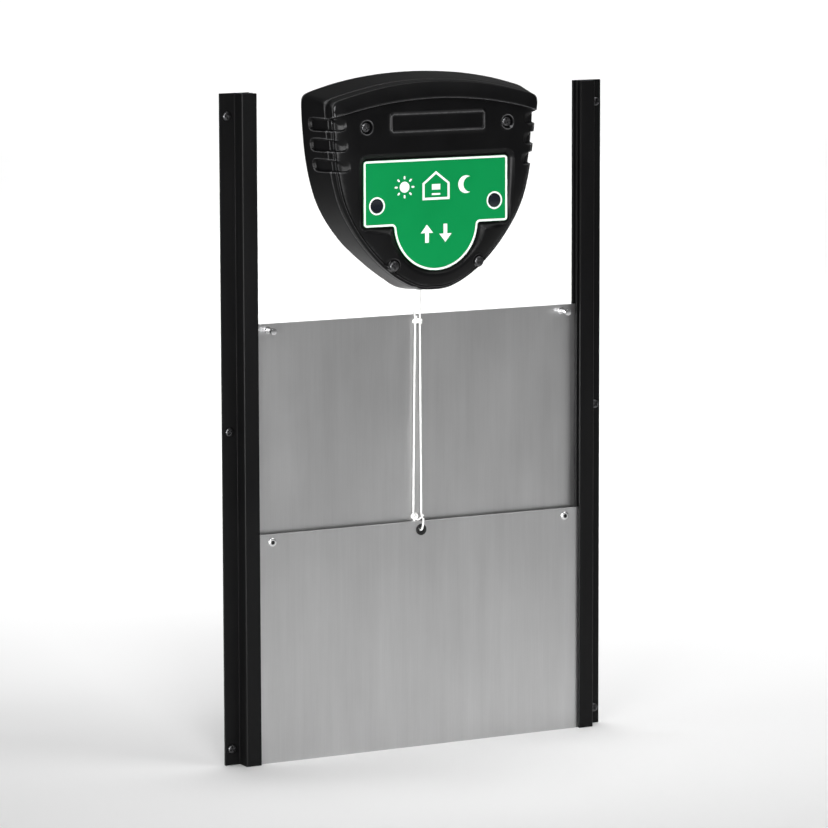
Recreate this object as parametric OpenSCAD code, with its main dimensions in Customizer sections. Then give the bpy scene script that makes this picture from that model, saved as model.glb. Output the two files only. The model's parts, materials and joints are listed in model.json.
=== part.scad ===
// Automatic coop door: two telescoping sheet leaves in black side rails,
// lifted on a cord by a battery opener mounted above them.
// Millimetres, +Z up. X runs across the doorway, -Y faces the viewer.
// Origin: on the wall plane, centre of the four corner wall screws.

/* [Rails] */
// Height of both side rails
rail_h = 480; // [360:5:720]
// Half of the clear doorway between the rails
door_half = 131.8; // [90:0.1:220]
// Half of the width over both rails
rail_outer = 155; // [110:0.5:250]
// Depth of a rail, off the wall
rail_d = 13.5; // [10:0.5:24]
// Wall thickness of the rail section
rail_t = 2.2; // [1.5:0.1:4]
// Height of the lower wall screws
screw_low = 12; // [8:0.5:40]
// Height of the middle wall screws
screw_mid = 240.5; // [180:0.5:360]
// Height of the upper wall screws
screw_high = 464; // [340:0.5:700]

/* [Leaves] */
// Height of each sheet leaf
leaf_h = 166; // [120:1:260]
// Sheet thickness
leaf_t = 1.5; // [1:0.1:3]
// How far a leaf reaches into each rail
leaf_grip = 7; // [4:0.5:9]
// Height of the upper leaf's bottom edge when closed
upper_z = 150; // [110:1:240]
// Half of the spacing of the stop pins and leaf rivets
pin_half = 120.5; // [80:0.5:200]

/* [Cord] */
// Lift cord radius
cord_r = 0.75; // [0.5:0.05:1.5]
// Distance of the cord in front of the wall
cord_y = 6.9; // [6:0.1:8]
// Sideways position of the pulling strand
lead_x = 1.3; // [0:0.1:4]

/* [Opener] */
// Half width of the case at its back
case_half = 91; // [75:1:110]
// Half width of the cover at its front edge
cover_half = 84; // [70:1:105]
// Height of the case's lowest point above the rail bottoms
case_low = 334; // [325:0.5:460]
// Thickness of the case's back and the cover's front
case_t = 2.4; // [1.8:0.1:4]
// Thickness of the case's side walls
side_t = 3.8; // [3.2:0.1:5]
// Distance of the case and cover joint from the wall
split_y = 26; // [22:0.5:30]
// Distance of the cover's front edge from the wall
edge_y = 30.5; // [28:0.5:34]
// Distance of the cover's crowned front from the wall
panel_y = 36.5; // [34:0.5:44]
// Distance of the brow from the wall
brow_y = 38.5; // [36:0.5:46]
// Distance of the label recess floor from the wall
label_y = 33.2; // [31:0.1:36]

/* [Drive] */
// Teeth on the gear beside the spool
gear_teeth = 28; // [20:1:30]
// Teeth on the motor pinion
pinion_teeth = 18; // [12:1:20]
// Gear module
gear_mod = 0.6; // [0.5:0.1:0.8]
// Core radius of the cord spool
spool_r = 4.5; // [3.5:0.1:6]
// Battery cell radius
cell_r = 7.25; // [5:0.05:8]
// Battery cell length
cell_l = 50.5; // [44:0.5:60]

/* [Hidden] */
$fn = 48;

eps = 0.01;
sill = -(screw_low + screw_high) / 2;
black = [0.05, 0.05, 0.055];
satin = [0.09, 0.09, 0.1];
sheet = [0.62, 0.62, 0.62];
steel = [0.72, 0.72, 0.74];
white = [0.93, 0.93, 0.91];
green = [0.02, 0.57, 0.31];

// rail section, all seen on the right-hand rail
chan_out = 143.6;
chan_in = chan_out - rail_t;
front_slot = rail_d - rail_t;
rib_front = front_slot - 3.4;
rib_back = rib_front - rail_t;
corner_r = 1.2;
screw_x = 150.2;
screw_r = 1.75;
shank_l = 4.5;
point_l = 2;
screw_clear = 0.35;
screw_zs = [screw_low, screw_mid, screw_high];

// leaves
lower_y = (front_slot + rib_front) / 2;
upper_y = (rib_back + rail_t) / 2;
leaf_half = door_half + leaf_grip;
rivet_z = 160.2;
grommet_z = 159.7;
grommet_r = 4.1;
pin_z = 311.5;
tie_x = -0.6;
tie_z = 313.6;
hole_r = 1.7;
tie_hole_r = 1.5;
rivet_bore_r = 1.05;
grommet_lip = 1.2;
grommet_neck_r = grommet_r - 0.9;
grommet_bore_r = 2.1;

// opener outline: half width against height, bottom to top corner
back_side = [
  [0, 0], [8, 0.5], [17, 3], [26.5, 9], [37, 16.5], [48, 25.5], [58, 34.5],
  [67, 45], [74.5, 56], [80, 67], [84, 79], [87, 92], [89, 106], [90.4, 122],
  [91, 137], [89.8, 142]
];
front_side = [
  [0, 2.5], [8, 2.8], [16, 4.8], [26, 9.6], [36, 16.2], [47, 26], [57.5, 38],
  [66.5, 51], [73, 64], [77, 77], [79.8, 91], [81.6, 104], [82.8, 117],
  [83.6, 129], [84, 134.5], [83, 138.2]
];
// the arched top, from the corner to the middle
back_top = [[86.2, 144.4], [75, 147.8], [60, 151.4], [40, 154.7], [20, 156.5]];
front_top = [[79.6, 140.2], [70, 142.9], [56, 146.2], [38, 149.6], [19, 151.6]];
back_apex = 157.1;
front_apex = 152.3;
// half widths that the two outlines are drawn at
back_drawn = 91;
front_drawn = 84;
// middle of the outline and its mean radii, for the inset
mid_z = 82;
mean_x = 86;
mean_z = 76;

// a point that moves from the back outline to the front one
function blend(a, b, t) = a * (1 - t) + b * t;
function half_side(t) = [
  for (i = [0 : len(back_side) - 1])
    [blend(back_side[i][0] * case_half / back_drawn,
           front_side[i][0] * cover_half / front_drawn, t),
     blend(back_side[i][1], front_side[i][1], t)]
];
function half_top(t) = [
  for (i = [0 : len(back_top) - 1])
    [blend(back_top[i][0] * case_half / back_drawn,
           front_top[i][0] * cover_half / front_drawn, t),
     blend(back_top[i][1], front_top[i][1], t)]
];
function right_side(t) = concat(half_side(t), half_top(t));
function mirrored(pts) = [
  for (i = [len(pts) - 1 : -1 : 1]) [-pts[i][0], pts[i][1]]
];
// a curve through four stations, at a fraction s between the middle two
function spline(a, b, c, d, s) =
  0.5 * ((2 * b) + (c - a) * s + (2 * a - 5 * b + 4 * c - d) * s * s
  + (3 * b - a - 3 * c + d) * s * s * s);
function smooth(p) = [
  for (i = [0 : len(p) - 1]) for (s = [0, 0.5])
    spline(p[(i + len(p) - 1) % len(p)], p[i], p[(i + 1) % len(p)],
           p[(i + 2) % len(p)], s)
];
function shield(t) = smooth(concat(
  right_side(t), [[0, blend(back_apex, front_apex, t)]], mirrored(right_side(t))));
function inset(p, d) = [
  for (q = p) [q[0] * (1 - d / mean_x), mid_z + (q[1] - mid_z) * (1 - d / mean_z)]
];
// the blend fraction at a distance from the wall
function depth_t(y) = y / edge_y;

// grip pockets in both side edges: low and high edge of each
pockets = [[89.3, 98.3], [103.8, 112.8], [118.3, 127.3]];
pocket_in = 73;
pocket_cut = 2.2;
pocket_back = 8;

// arcs and round-ended outlines
function arc(cx, cz, r, a0, a1, n) = [
  for (i = [0 : n]) [cx + r * cos(a0 + (a1 - a0) * i / n),
                     cz + r * sin(a0 + (a1 - a0) * i / n)]
];

// label, heights above the case's lowest point
label_half = 58.4;
label_top = 96.7;
label_step = 49.5;
label_round = 34;
label_corner = 2.5;
window_x = 47.7;
window_z = 64.5;
window_r = 5.1;
label_t = 0.6;
function label_outline(g) = concat(
  arc(label_half - label_corner, label_top - label_corner, label_corner + g, 0, 90, 6),
  arc(-label_half + label_corner, label_top - label_corner, label_corner + g, 90, 180, 6),
  arc(-label_half + label_corner, label_step + label_corner, label_corner + g, 180, 270, 6),
  arc(0, label_step + 1, label_round + g, 184, 356, 36),
  arc(label_half - label_corner, label_step + label_corner, label_corner + g, 270, 360, 6)
);

// cover screws: position and height above the case's lowest point
cover_screw_at = [[57, 120.6], [-57, 120.6], [34.5, 21.3], [-34.5, 21.3]];
screw_seat = panel_y - 2.5;
seat_r = 4.3;
cover_screw_r = 1.5;

// fixings inside the case, and the holes in its back
seal_t = 0.8;
boss_x = 17;
boss_z = 58;
board_x = 50;
board_z = 52;
pilot_r = 1.05;
hanger_x = 68;
hanger_z = 112;
hanger_r = 2.25;
outlet_r = 2.9;

// drive train
spool_y = cord_y + spool_r + cord_r;
spool_z = 38;
spool_x0 = -6;
spool_x1 = 9;
gear_pitch = gear_mod * gear_teeth / 2;
pinion_pitch = gear_mod * pinion_teeth / 2;
motor_z = spool_z + gear_pitch + pinion_pitch;
shaft_r = 2;
bush_r = 3.4;
cheek_left = -10.5;
cheek_right = 11.5;
cheek_t = 2;
gear_x = -15.5;
gear_w = 4;
flange_r = 7;
flange_t = 1.4;
bore_gap = 0.01;
board_y = 25.6;
board_t = 1.6;
bracket_y = 4.4;
bracket_t = 1.6;

// helpers
module at_sill() { translate([0, 0, sill]) children(); }
module at_case() { translate([0, 0, sill + case_low]) children(); }
// a flat shape in X and Z, between two distances in front of the wall
module slab(near, far) {
  translate([0, -near, 0]) rotate([90, 0, 0]) linear_extrude(far - near) children();
}
module y_rod(x, z, r, near, far) {
  translate([x, -near, z]) rotate([90, 0, 0]) cylinder(r = r, h = far - near);
}
module x_rod(x, y, z, r, len) {
  translate([x, -y, z]) rotate([0, 90, 0]) cylinder(r = r, h = len);
}
module block(x, near, z, size) {
  translate([x, -near - size[1], z]) cube(size);
}
// a tube swept along points, with eight sides
module swept(path, r) {
  n = len(path);
  sides = 8;
  ring = [for (i = [0 : n - 1])
    let (d = path[min(i + 1, n - 1)] - path[max(i - 1, 0)], t = d / norm(d),
         u0 = cross(t, [0.03, 1, 0.02]), u = u0 / norm(u0), v = cross(t, u))
    for (k = [0 : sides - 1]) path[i] + r * (u * cos(45 * k) + v * sin(45 * k))];
  walls = [for (i = [0 : n - 2]) for (k = [0 : sides - 1])
    [i * sides + k, i * sides + (k + 1) % sides,
     (i + 1) * sides + (k + 1) % sides, (i + 1) * sides + k]];
  ends = [[for (k = [sides - 1 : -1 : 0]) k],
          [for (k = [0 : sides - 1]) (n - 1) * sides + k]];
  polyhedron(points = ring, faces = concat(walls, ends), convexity = 4);
}

// ---- rails ----
module rail_section() {
  corner = arc(chan_out - corner_r, -rail_d + corner_r, corner_r, 0, -90, 6);
  polygon(concat(
    [[door_half, 0], [rail_outer, 0], [rail_outer, -rail_t], [chan_out, -rail_t]],
    corner,
    [[door_half, -rail_d], [door_half, -front_slot], [chan_in, -front_slot],
     [chan_in, -rib_front], [door_half, -rib_front], [door_half, -rib_back],
     [chan_in, -rib_back], [chan_in, -rail_t], [door_half, -rail_t]]));
}

module rail() {
  color(black) difference() {
    linear_extrude(rail_h) rail_section();
    for (z = screw_zs) y_rod(screw_x, z, screw_r + screw_clear, -1, rail_t + 1);
  }
}

module rail_right() { at_sill() rail(); }
module rail_left() { at_sill() mirror([1, 0, 0]) rail(); }

// pan head wall screw whose shank stands out behind the rail
module wall_screw() {
  head_r = 3.1;
  difference() {
    union() {
      translate([0, -rail_t, 0]) rotate([90, 0, 0]) rotate_extrude()
        polygon([[0, 0], [head_r, 0], [head_r, 0.7], [2.7, 1.5], [1.9, 2], [0, 2.2]]);
      y_rod(0, 0, screw_r + 0.2, 0, rail_t + eps);
      y_rod(0, 0, screw_r, -shank_l, eps);
      translate([0, shank_l, 0]) rotate([-90, 0, 0])
        cylinder(r1 = screw_r, r2 = 0.2, h = point_l);
    }
    for (a = [0, 90]) rotate([0, a, 0]) block(-1.9, rail_t + 1.1, -0.35, [3.8, 2, 0.7]);
  }
}

module rail_screws() {
  color(black) at_sill() for (x = [-screw_x, screw_x]) for (z = screw_zs)
    translate([x, 0, z]) rotate([0, z, 0]) wall_screw();
}

// small stop in each rear slot that carries the closed upper leaf
module upper_leaf_rests() {
  color(black) at_sill() for (m = [0, 1]) mirror([m, 0, 0])
    block(chan_in - 8, rail_t, upper_z - 12, [8, rib_back - rail_t, 12]);
}

// ---- leaves ----
module upper_leaf() {
  color(sheet) at_sill() difference() {
    block(-leaf_half, upper_y - leaf_t / 2, upper_z, [2 * leaf_half, leaf_t, leaf_h]);
    for (x = [-pin_half, pin_half]) y_rod(x, pin_z, hole_r, 0, rail_d);
    y_rod(tie_x, tie_z, tie_hole_r, 0, rail_d);
  }
}

module lower_leaf() {
  color(sheet) at_sill() difference() {
    block(-leaf_half, lower_y - leaf_t / 2, 0, [2 * leaf_half, leaf_t, leaf_h]);
    for (x = [-pin_half, pin_half]) y_rod(x, rivet_z, hole_r, 0, rail_d);
    y_rod(0, grommet_z, grommet_neck_r, 0, rail_d);
  }
}

// turned pins on the upper leaf that catch the lower leaf's top edge
module stop_pins() {
  near = upper_y - leaf_t / 2;
  far = upper_y + leaf_t / 2;
  color(steel) at_sill() for (x = [-pin_half, pin_half]) translate([x, 0, pin_z]) {
    y_rod(0, 0, 1.6, near - 0.2, 15.2);
    y_rod(0, 0, 2.6, far, far + 1);
    y_rod(0, 0, 2.4, 13, 15.4);
    y_rod(0, 0, 2.5, near - 1.2, near);
  }
}

// blind rivets in the lower leaf's top corners, hollow at the front
module leaf_rivets() {
  near = lower_y - leaf_t / 2;
  far = lower_y + leaf_t / 2;
  color(steel) at_sill() for (x = [-pin_half, pin_half]) translate([x, 0, rivet_z])
    difference() {
      union() {
        y_rod(0, 0, 1.6, near - 1.8, far + 0.1);
        translate([0, -far, 0]) rotate([90, 0, 0]) rotate_extrude()
          polygon([[0, 0], [3.2, 0], [3.2, 0.3], [2.4, 0.9], [1.6, 1.1], [0, 1.1]]);
        y_rod(0, 0, 2.3, near - 1.8, near);
      }
      y_rod(0, 0, rivet_bore_r, far - 0.6, far + 3);
    }
}

module cord_grommet() {
  near = lower_y - leaf_t / 2;
  far = lower_y + leaf_t / 2;
  color(black) at_sill() translate([0, 0, grommet_z]) difference() {
    union() {
      y_rod(0, 0, grommet_neck_r, near - 0.1, far + 0.1);
      y_rod(0, 0, grommet_r, far, far + grommet_lip);
      y_rod(0, 0, grommet_r, near - grommet_lip, near);
    }
    y_rod(0, 0, grommet_bore_r, 0, 2 * rail_d);
  }
}

// ---- cord ----
// stretch of the cord between its spool and the case's outlet
module inner_cord() {
  color(white) at_case() translate([lead_x, -cord_y, 1.05]) cylinder(r = cord_r, h = 34);
}

// single pulling strand between the opener and the upper leaf
module lift_cord() {
  color(white) at_sill() swept([
    [lead_x, -cord_y, 315], [lead_x, -cord_y, 322], [lead_x, -cord_y, 329],
    [lead_x, -cord_y, 335]], cord_r);
}

// two strands down to the lower leaf and through its grommet
loop_path = [
  [1.3, -6.9, 315], [1.4, -6.9, 290], [1.6, -6.9, 255], [1.8, -6.9, 220],
  [2, -6.9, 185], [2.1, -6.9, 171], [2.2, -7.9, 168.4], [2.2, -9.6, 167.6],
  [1.9, -11.6, 167], [1.2, -12.9, 165], [0.7, -12.9, 162.5], [0.2, -11.6, 159.9],
  [-0.3, -9.6, 159.5], [-0.8, -7, 159.9], [-1.6, -5.9, 161], [-2.8, -5.7, 163.4],
  [-4, -6.2, 168], [-4.4, -6.9, 176], [-4, -6.9, 210], [-3.5, -6.9, 250],
  [-2.9, -6.9, 290], [-2.6, -6.9, 309]
];
module loop_cord() { color(white) at_sill() swept(loop_path, cord_r); }

// tied knots at the upper leaf's cord hole
module cord_knots() {
  color(white) at_sill() {
    y_rod(tie_x, tie_z - 1.2, 2.6, 5, 7.8);
    y_rod(tie_x, tie_z, cord_r, 2, 5.5);
    y_rod(tie_x, tie_z, tie_hole_r, 1, 2.8);
  }
}

// ---- opener case ----
module case_form(near, far, cut) {
  hull() {
    slab(near, near + eps) polygon(inset(shield(depth_t(near)), cut));
    slab(far - eps, far) polygon(inset(shield(depth_t(far)), cut));
  }
}

// outer form of the cover, with its narrow rim and crowned front
module cover_form(start, cut, drop) {
  hull() {
    slab(start, start + eps) polygon(inset(shield(depth_t(start)), cut));
    slab(edge_y - eps, edge_y) polygon(inset(shield(1), cut));
    slab(edge_y + 1.5 - drop, edge_y + 1.5 - drop + eps)
      polygon(inset(shield(1), cut + 2));
    slab(panel_y - drop - eps, panel_y - drop) polygon(inset(shield(1), cut + 20));
  }
}

module pocket_bars(near, far) {
  for (m = [0, 1]) mirror([m, 0, 0]) for (p = pockets)
    slab(near, far) translate([pocket_in, p[0]]) square([30, p[1] - p[0]]);
}

// solid backing behind the grip pockets
module pocket_backing(near, far) {
  for (m = [0, 1]) mirror([m, 0, 0])
    slab(near, far) translate([pocket_in + 5, 87]) square([20, 42]);
}

module rear_case() {
  color(satin) at_case() difference() {
    union() {
      difference() {
        case_form(0, split_y, 0);
        case_form(case_t, split_y + 1, side_t);
      }
      intersection() {
        pocket_backing(case_t - eps, split_y);
        case_form(0, split_y, 0.4);
      }
      for (p = cover_screw_at) y_rod(p[0], p[1], 4, case_t - eps, split_y);
      for (x = [-boss_x, boss_x]) y_rod(x, boss_z, 2.6, case_t - eps, bracket_y);
      for (x = [-board_x, board_x])
        y_rod(x, board_z, 2.8, case_t - eps, board_y - board_t - 0.1);
    }
    difference() {
      pocket_bars(pocket_back, split_y + 1);
      case_form(0, split_y + 2, pocket_cut);
    }
    for (p = cover_screw_at) y_rod(p[0], p[1], 1.55, 8, split_y + 2);
    for (x = [-boss_x, boss_x]) y_rod(x, boss_z, pilot_r, 1, 5);
    for (x = [-board_x, board_x]) y_rod(x, board_z, pilot_r, board_y - 8, board_y);
    for (x = [-hanger_x, hanger_x]) y_rod(x, hanger_z, hanger_r, -1, case_t + 1);
    translate([lead_x, -cord_y, -2]) cylinder(r = outlet_r, h = 10);
  }
}

module cover_seal() {
  color(black) at_case() slab(split_y, split_y + seal_t) difference() {
    polygon(inset(shield(depth_t(split_y)), pocket_cut + 0.3));
    polygon(inset(shield(depth_t(split_y)), side_t - 0.2));
  }
}

// region of the arched brow along the cover's top
brow_low_mid = 139.3;
brow_low_end = 127.3;
brow_sag = brow_low_mid - brow_low_end;
module brow_mask() {
  polygon(concat([[-120, 200], [-120, 118]],
    [for (s = [-1 : 0.125 : 1]) [s * front_drawn, brow_low_mid - brow_sag * s * s]],
    [[120, 118], [120, 200]]));
}

module brow() {
  intersection() {
    hull() {
      slab(edge_y - eps, edge_y) polygon(shield(1));
      slab(edge_y + 1.5, edge_y + 1.5 + eps) polygon(inset(shield(1), 2));
      slab(brow_y - eps, brow_y) polygon(inset(shield(1), 11));
    }
    slab(edge_y - 1, brow_y + 1) brow_mask();
  }
}

module front_cover() {
  start = split_y + seal_t;
  color(satin) at_case() difference() {
    union() {
      difference() {
        union() {
          cover_form(start, 0, 0);
          brow();
        }
        cover_form(start - 1, side_t, case_t);
      }
      intersection() {
        union() {
          slab(label_y - 2.2, panel_y) polygon(label_outline(5));
          for (p = cover_screw_at) y_rod(p[0], p[1], 5.6, start, panel_y);
          pocket_backing(start, panel_y);
        }
        cover_form(start, 0.4, 0.3);
      }
    }
    difference() {
      pocket_bars(start - 1, panel_y + 2);
      cover_form(start - 2, pocket_cut, 1.6);
    }
    slab(label_y, brow_y + 5) polygon(label_outline(0.8));
    for (x = [-window_x, window_x]) y_rod(x, window_z, window_r, label_y - 6, label_y + 2);
    for (p = cover_screw_at) {
      y_rod(p[0], p[1], 1.8, start - 1, brow_y);
      y_rod(p[0], p[1], seat_r, screw_seat, brow_y + 1);
    }
  }
}

module cover_screw() {
  seat = screw_seat;
  difference() {
    union() {
      y_rod(0, 0, cover_screw_r, 20, seat + eps);
      translate([0, -seat, 0]) rotate([90, 0, 0]) rotate_extrude()
        polygon([[0, 0], [3.5, 0], [3.5, 0.8], [2.9, 1.6], [1.8, 2], [0, 2.1]]);
    }
    for (a = [0, 90]) rotate([0, a, 0]) block(-1.8, seat + 1, -0.35, [3.6, 2, 0.7]);
  }
}
module cover_screws() {
  color([0.08, 0.08, 0.09]) at_case() for (p = cover_screw_at)
    translate([p[0], 0, p[1]]) rotate([0, p[0], 0]) cover_screw();
}

module label_plate() {
  color(green) at_case() difference() {
    slab(label_y, label_y + label_t) polygon(label_outline(0));
    for (x = [-window_x, window_x]) y_rod(x, window_z, window_r, label_y - 1, label_y + 2);
  }
}

module sensor_lens() {
  color([0.02, 0.02, 0.03]) at_case() {
    y_rod(window_x, window_z, 5, label_y - 1.6, label_y + 0.7);
    y_rod(window_x, window_z, 6.4, label_y - 3.4, label_y - 2.2);
    y_rod(window_x, window_z, 5, label_y - 2.3, label_y - 1.5);
  }
}

// round push button in the label's left window
module button_cap() {
  color([0.02, 0.02, 0.03]) at_case() {
    y_rod(-window_x, window_z, 4.85, label_y - 3.3, label_y + 0.8);
    y_rod(-window_x, window_z, 5.9, label_y - 3.3, label_y - 2.4);
    y_rod(-window_x, window_z, 1.6, board_y + 2.2, label_y - 3.3);
  }
}

// ---- electronics ----
module circuit_board() {
  color([0.03, 0.25, 0.12]) at_case() difference() {
    slab(board_y - board_t, board_y) translate([-56, 46]) square([112, 40]);
    for (x = [-board_x, board_x]) y_rod(x, board_z, 1.5, 0, 40);
  }
}

module board_chips() {
  color([0.06, 0.06, 0.07]) at_case() {
    block(-8, board_y, 54, [9, 1.4, 9]);
    block(12, board_y, 60, [5, 1.2, 4]);
    block(-30, board_y, 70, [14, 1.8, 7]);
    y_rod(22, 74, 3.2, board_y, board_y + 4.2);
  }
}

module light_sensor() {
  color([0.75, 0.78, 0.8]) at_case() {
    y_rod(window_x, window_z, 2.5, board_y, board_y + 2.6);
    translate([window_x, -board_y - 2.6, window_z]) sphere(r = 1.2, $fn = 24);
  }
}

module push_switch() {
  color([0.15, 0.15, 0.16]) at_case() {
    block(-window_x - 3, board_y, window_z - 3, [6, 0.9, 6]);
    y_rod(-window_x, window_z, 1.2, board_y + 0.8, board_y + 1.3);
  }
}

// a shank of a given length under a low round head
module small_screw(x, z, seat, len) {
  y_rod(x, z, 1, seat - len, seat + eps);
  y_rod(x, z, 2.2, seat, seat + 1.3);
}

// small screws that hold the board and the motor bracket
module inner_screws() {
  color(steel) at_case() {
    for (x = [-board_x, board_x]) small_screw(x, board_z, board_y, 7);
    for (x = [-boss_x, boss_x]) small_screw(x, boss_z, bracket_y + bracket_t, 4.8);
  }
}

// ---- batteries ----
cell_rows = [76.5, 92];
cell_y = 11.2;
tray_in = 53.4;
module battery_tray() {
  color(satin) at_case() difference() {
    block(-55, case_t, 67.5, [110, 13, 33.5]);
    for (z = cell_rows) x_rod(-tray_in, cell_y, z, cell_r + 0.2, 2 * tray_in);
    block(-tray_in, cell_y, 69.3, [2 * tray_in, 10, 30]);
  }
}
module batteries() {
  color([0.5, 0.52, 0.2]) at_case() for (z = cell_rows) for (x = [-51.2, 0.7]) {
    x_rod(x, cell_y, z, cell_r, cell_l - 1.2);
    x_rod(x + cell_l - 1.3, cell_y, z, 2.7, 1.2);
  }
}
module battery_contacts() {
  color(steel) at_case() for (z = cell_rows) {
    block(-53.2, 7.5, z - 4, [0.5, 8, 8]);
    x_rod(-52.8, cell_y, z, 2.8, 1.4);
    block(52.7, 7.5, z - 4, [0.5, 8, 8]);
    x_rod(51.4, cell_y, z, 1.6, 1.4);
  }
}

// ---- drive ----
// straight-sided teeth with a land at tip and root
module gear_disc(teeth) {
  pitch = gear_mod * teeth / 2;
  tip = pitch + gear_mod * 0.9;
  root = pitch - gear_mod * 1.15;
  step = 360 / teeth;
  polygon([for (i = [0 : teeth - 1])
    for (k = [[-0.34, root], [-0.21, pitch], [-0.1, tip], [0.1, tip], [0.21, pitch],
              [0.34, root]])
      k[1] * [cos((i + k[0]) * step), sin((i + k[0]) * step)]]);
}

module x_gear(teeth, x, y, z, turn, bore) {
  translate([x, -y, z]) rotate([turn, 0, 0]) rotate([0, 90, 0])
    difference() {
      linear_extrude(gear_w) gear_disc(teeth);
      translate([0, 0, -1]) cylinder(r = bore, h = gear_w + 2);
    }
}

module drive_gear() {
  color(white) at_case() x_gear(gear_teeth, gear_x, spool_y, spool_z, 0, shaft_r + bore_gap);
}

// half a tooth out of step with the gear, so that the teeth mesh
module motor_pinion() {
  turn = 360 / pinion_teeth / 2;
  color(steel) at_case() {
    x_gear(pinion_teeth, gear_x, spool_y, motor_z, turn, 1.49);
    x_rod(gear_x - 1, spool_y, motor_z, 1.5, 13);
  }
}

module spool() {
  color(white) at_case() difference() {
    union() {
      x_rod(spool_x0, spool_y, spool_z, spool_r, spool_x1 - spool_x0);
      x_rod(spool_x0, spool_y, spool_z, flange_r, flange_t);
      x_rod(spool_x1 - flange_t, spool_y, spool_z, flange_r, flange_t);
    }
    x_rod(spool_x0 - 1, spool_y, spool_z, shaft_r + bore_gap, spool_x1 - spool_x0 + 2);
  }
}

module spool_shaft() {
  color(steel) at_case() x_rod(gear_x - 1, spool_y, spool_z, shaft_r, 31.5);
}

module spool_cord() {
  color(white) at_case() difference() {
    x_rod(spool_x0 + 1.8, spool_y, spool_z, spool_r + 0.7, 11);
    x_rod(spool_x0 + 1, spool_y, spool_z, spool_r + bore_gap, 13);
  }
}

module shaft_bushes() {
  color([0.6, 0.45, 0.2]) at_case()
    for (x = [cheek_left, cheek_right]) difference() {
      union() {
        x_rod(x, spool_y, spool_z, bush_r, cheek_t);
        x_rod(x < 0 ? x + cheek_t : x - 0.8, spool_y, spool_z, bush_r + 1, 0.8);
      }
      x_rod(x - 2, spool_y, spool_z, shaft_r + 0.05, cheek_t + 4);
    }
}

module motor_bracket() {
  color(satin) at_case() {
    bracket_base();
    difference() {
      union() {
        block(cheek_left, bracket_y, 29, [cheek_t, 15.6, 33]);
        block(cheek_right, bracket_y, 29, [cheek_t, 15.6, 15]);
      }
      for (x = [cheek_left, cheek_right])
        x_rod(x - 1, spool_y, spool_z, bush_r, cheek_t + 2);
      x_rod(cheek_left - 1, spool_y, motor_z, 2.2, cheek_t + 2);
    }
  }
}

module bracket_base() {
  difference() {
    block(-21, bracket_y, 27, [42, bracket_t, 36]);
    for (x = [-boss_x, boss_x]) y_rod(x, boss_z, 1.3, 0, 10);
    block(-16.5, 3, 26, [27, 4, 23]);
  }
}

module drive_motor() {
  color(steel) at_case() {
    translate([cheek_left + cheek_t + 0.05, -spool_y - 5, motor_z - 6]) difference() {
      cube([9, 10, 12]);
      translate([-1, 5, 6]) rotate([0, 90, 0]) cylinder(r = 1.7, h = 7);
    }
    intersection() {
      x_rod(cheek_left + cheek_t + 9, spool_y, motor_z, 6, 15.5);
      block(0, spool_y - 5, motor_z - 8, [20, 10, 16]);
    }
    x_rod(16, spool_y, motor_z, 2, 1.4);
  }
}

// flanged bush in the case's lowest point, where the cord comes out
module cord_outlet_bush() {
  color([0.2, 0.2, 0.21]) at_case() translate([lead_x, -cord_y, 0]) difference() {
    union() {
      translate([0, 0, 0.2]) cylinder(r = 2.85, h = 4.3);
      translate([0, 0, 4.4]) cylinder(r = 4, h = 1);
    }
    translate([0, 0, -1]) cylinder(r = 1.2, h = 8);
  }
}

// small switch whose lever feels a slack cord
module slack_switch() {
  color([0.08, 0.08, 0.09]) at_case() {
    block(6, case_t, 14, [6, 6.6, 8]);
    block(3.4, 6.1, 20, [2.7, 1, 0.5]);
  }
}

rail_left();
rail_right();
rail_screws();
upper_leaf_rests();
upper_leaf();
stop_pins();
lower_leaf();
leaf_rivets();
cord_grommet();
lift_cord();
loop_cord();
cord_knots();
rear_case();
cover_seal();
front_cover();
cover_screws();
label_plate();
sensor_lens();
button_cap();
circuit_board();
board_chips();
light_sensor();
push_switch();
battery_tray();
batteries();
battery_contacts();
motor_bracket();
drive_motor();
motor_pinion();
drive_gear();
spool();
spool_shaft();
shaft_bushes();
spool_cord();
cord_outlet_bush();
slack_switch();
inner_cord();
inner_screws();
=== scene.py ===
"""Looks of the automatic coop door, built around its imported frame.

Lengths are in millimetres in the part's frame until a mesh is made, where they become metres.
Distances called depth are measured in front of the wall plane, towards the viewer.
"""

import json
import math

import bmesh
import bpy
import numpy as np
from mathutils import Matrix, Quaternion, Vector
from mathutils.geometry import delaunay_2d_cdt, tessellate_polygon


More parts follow.
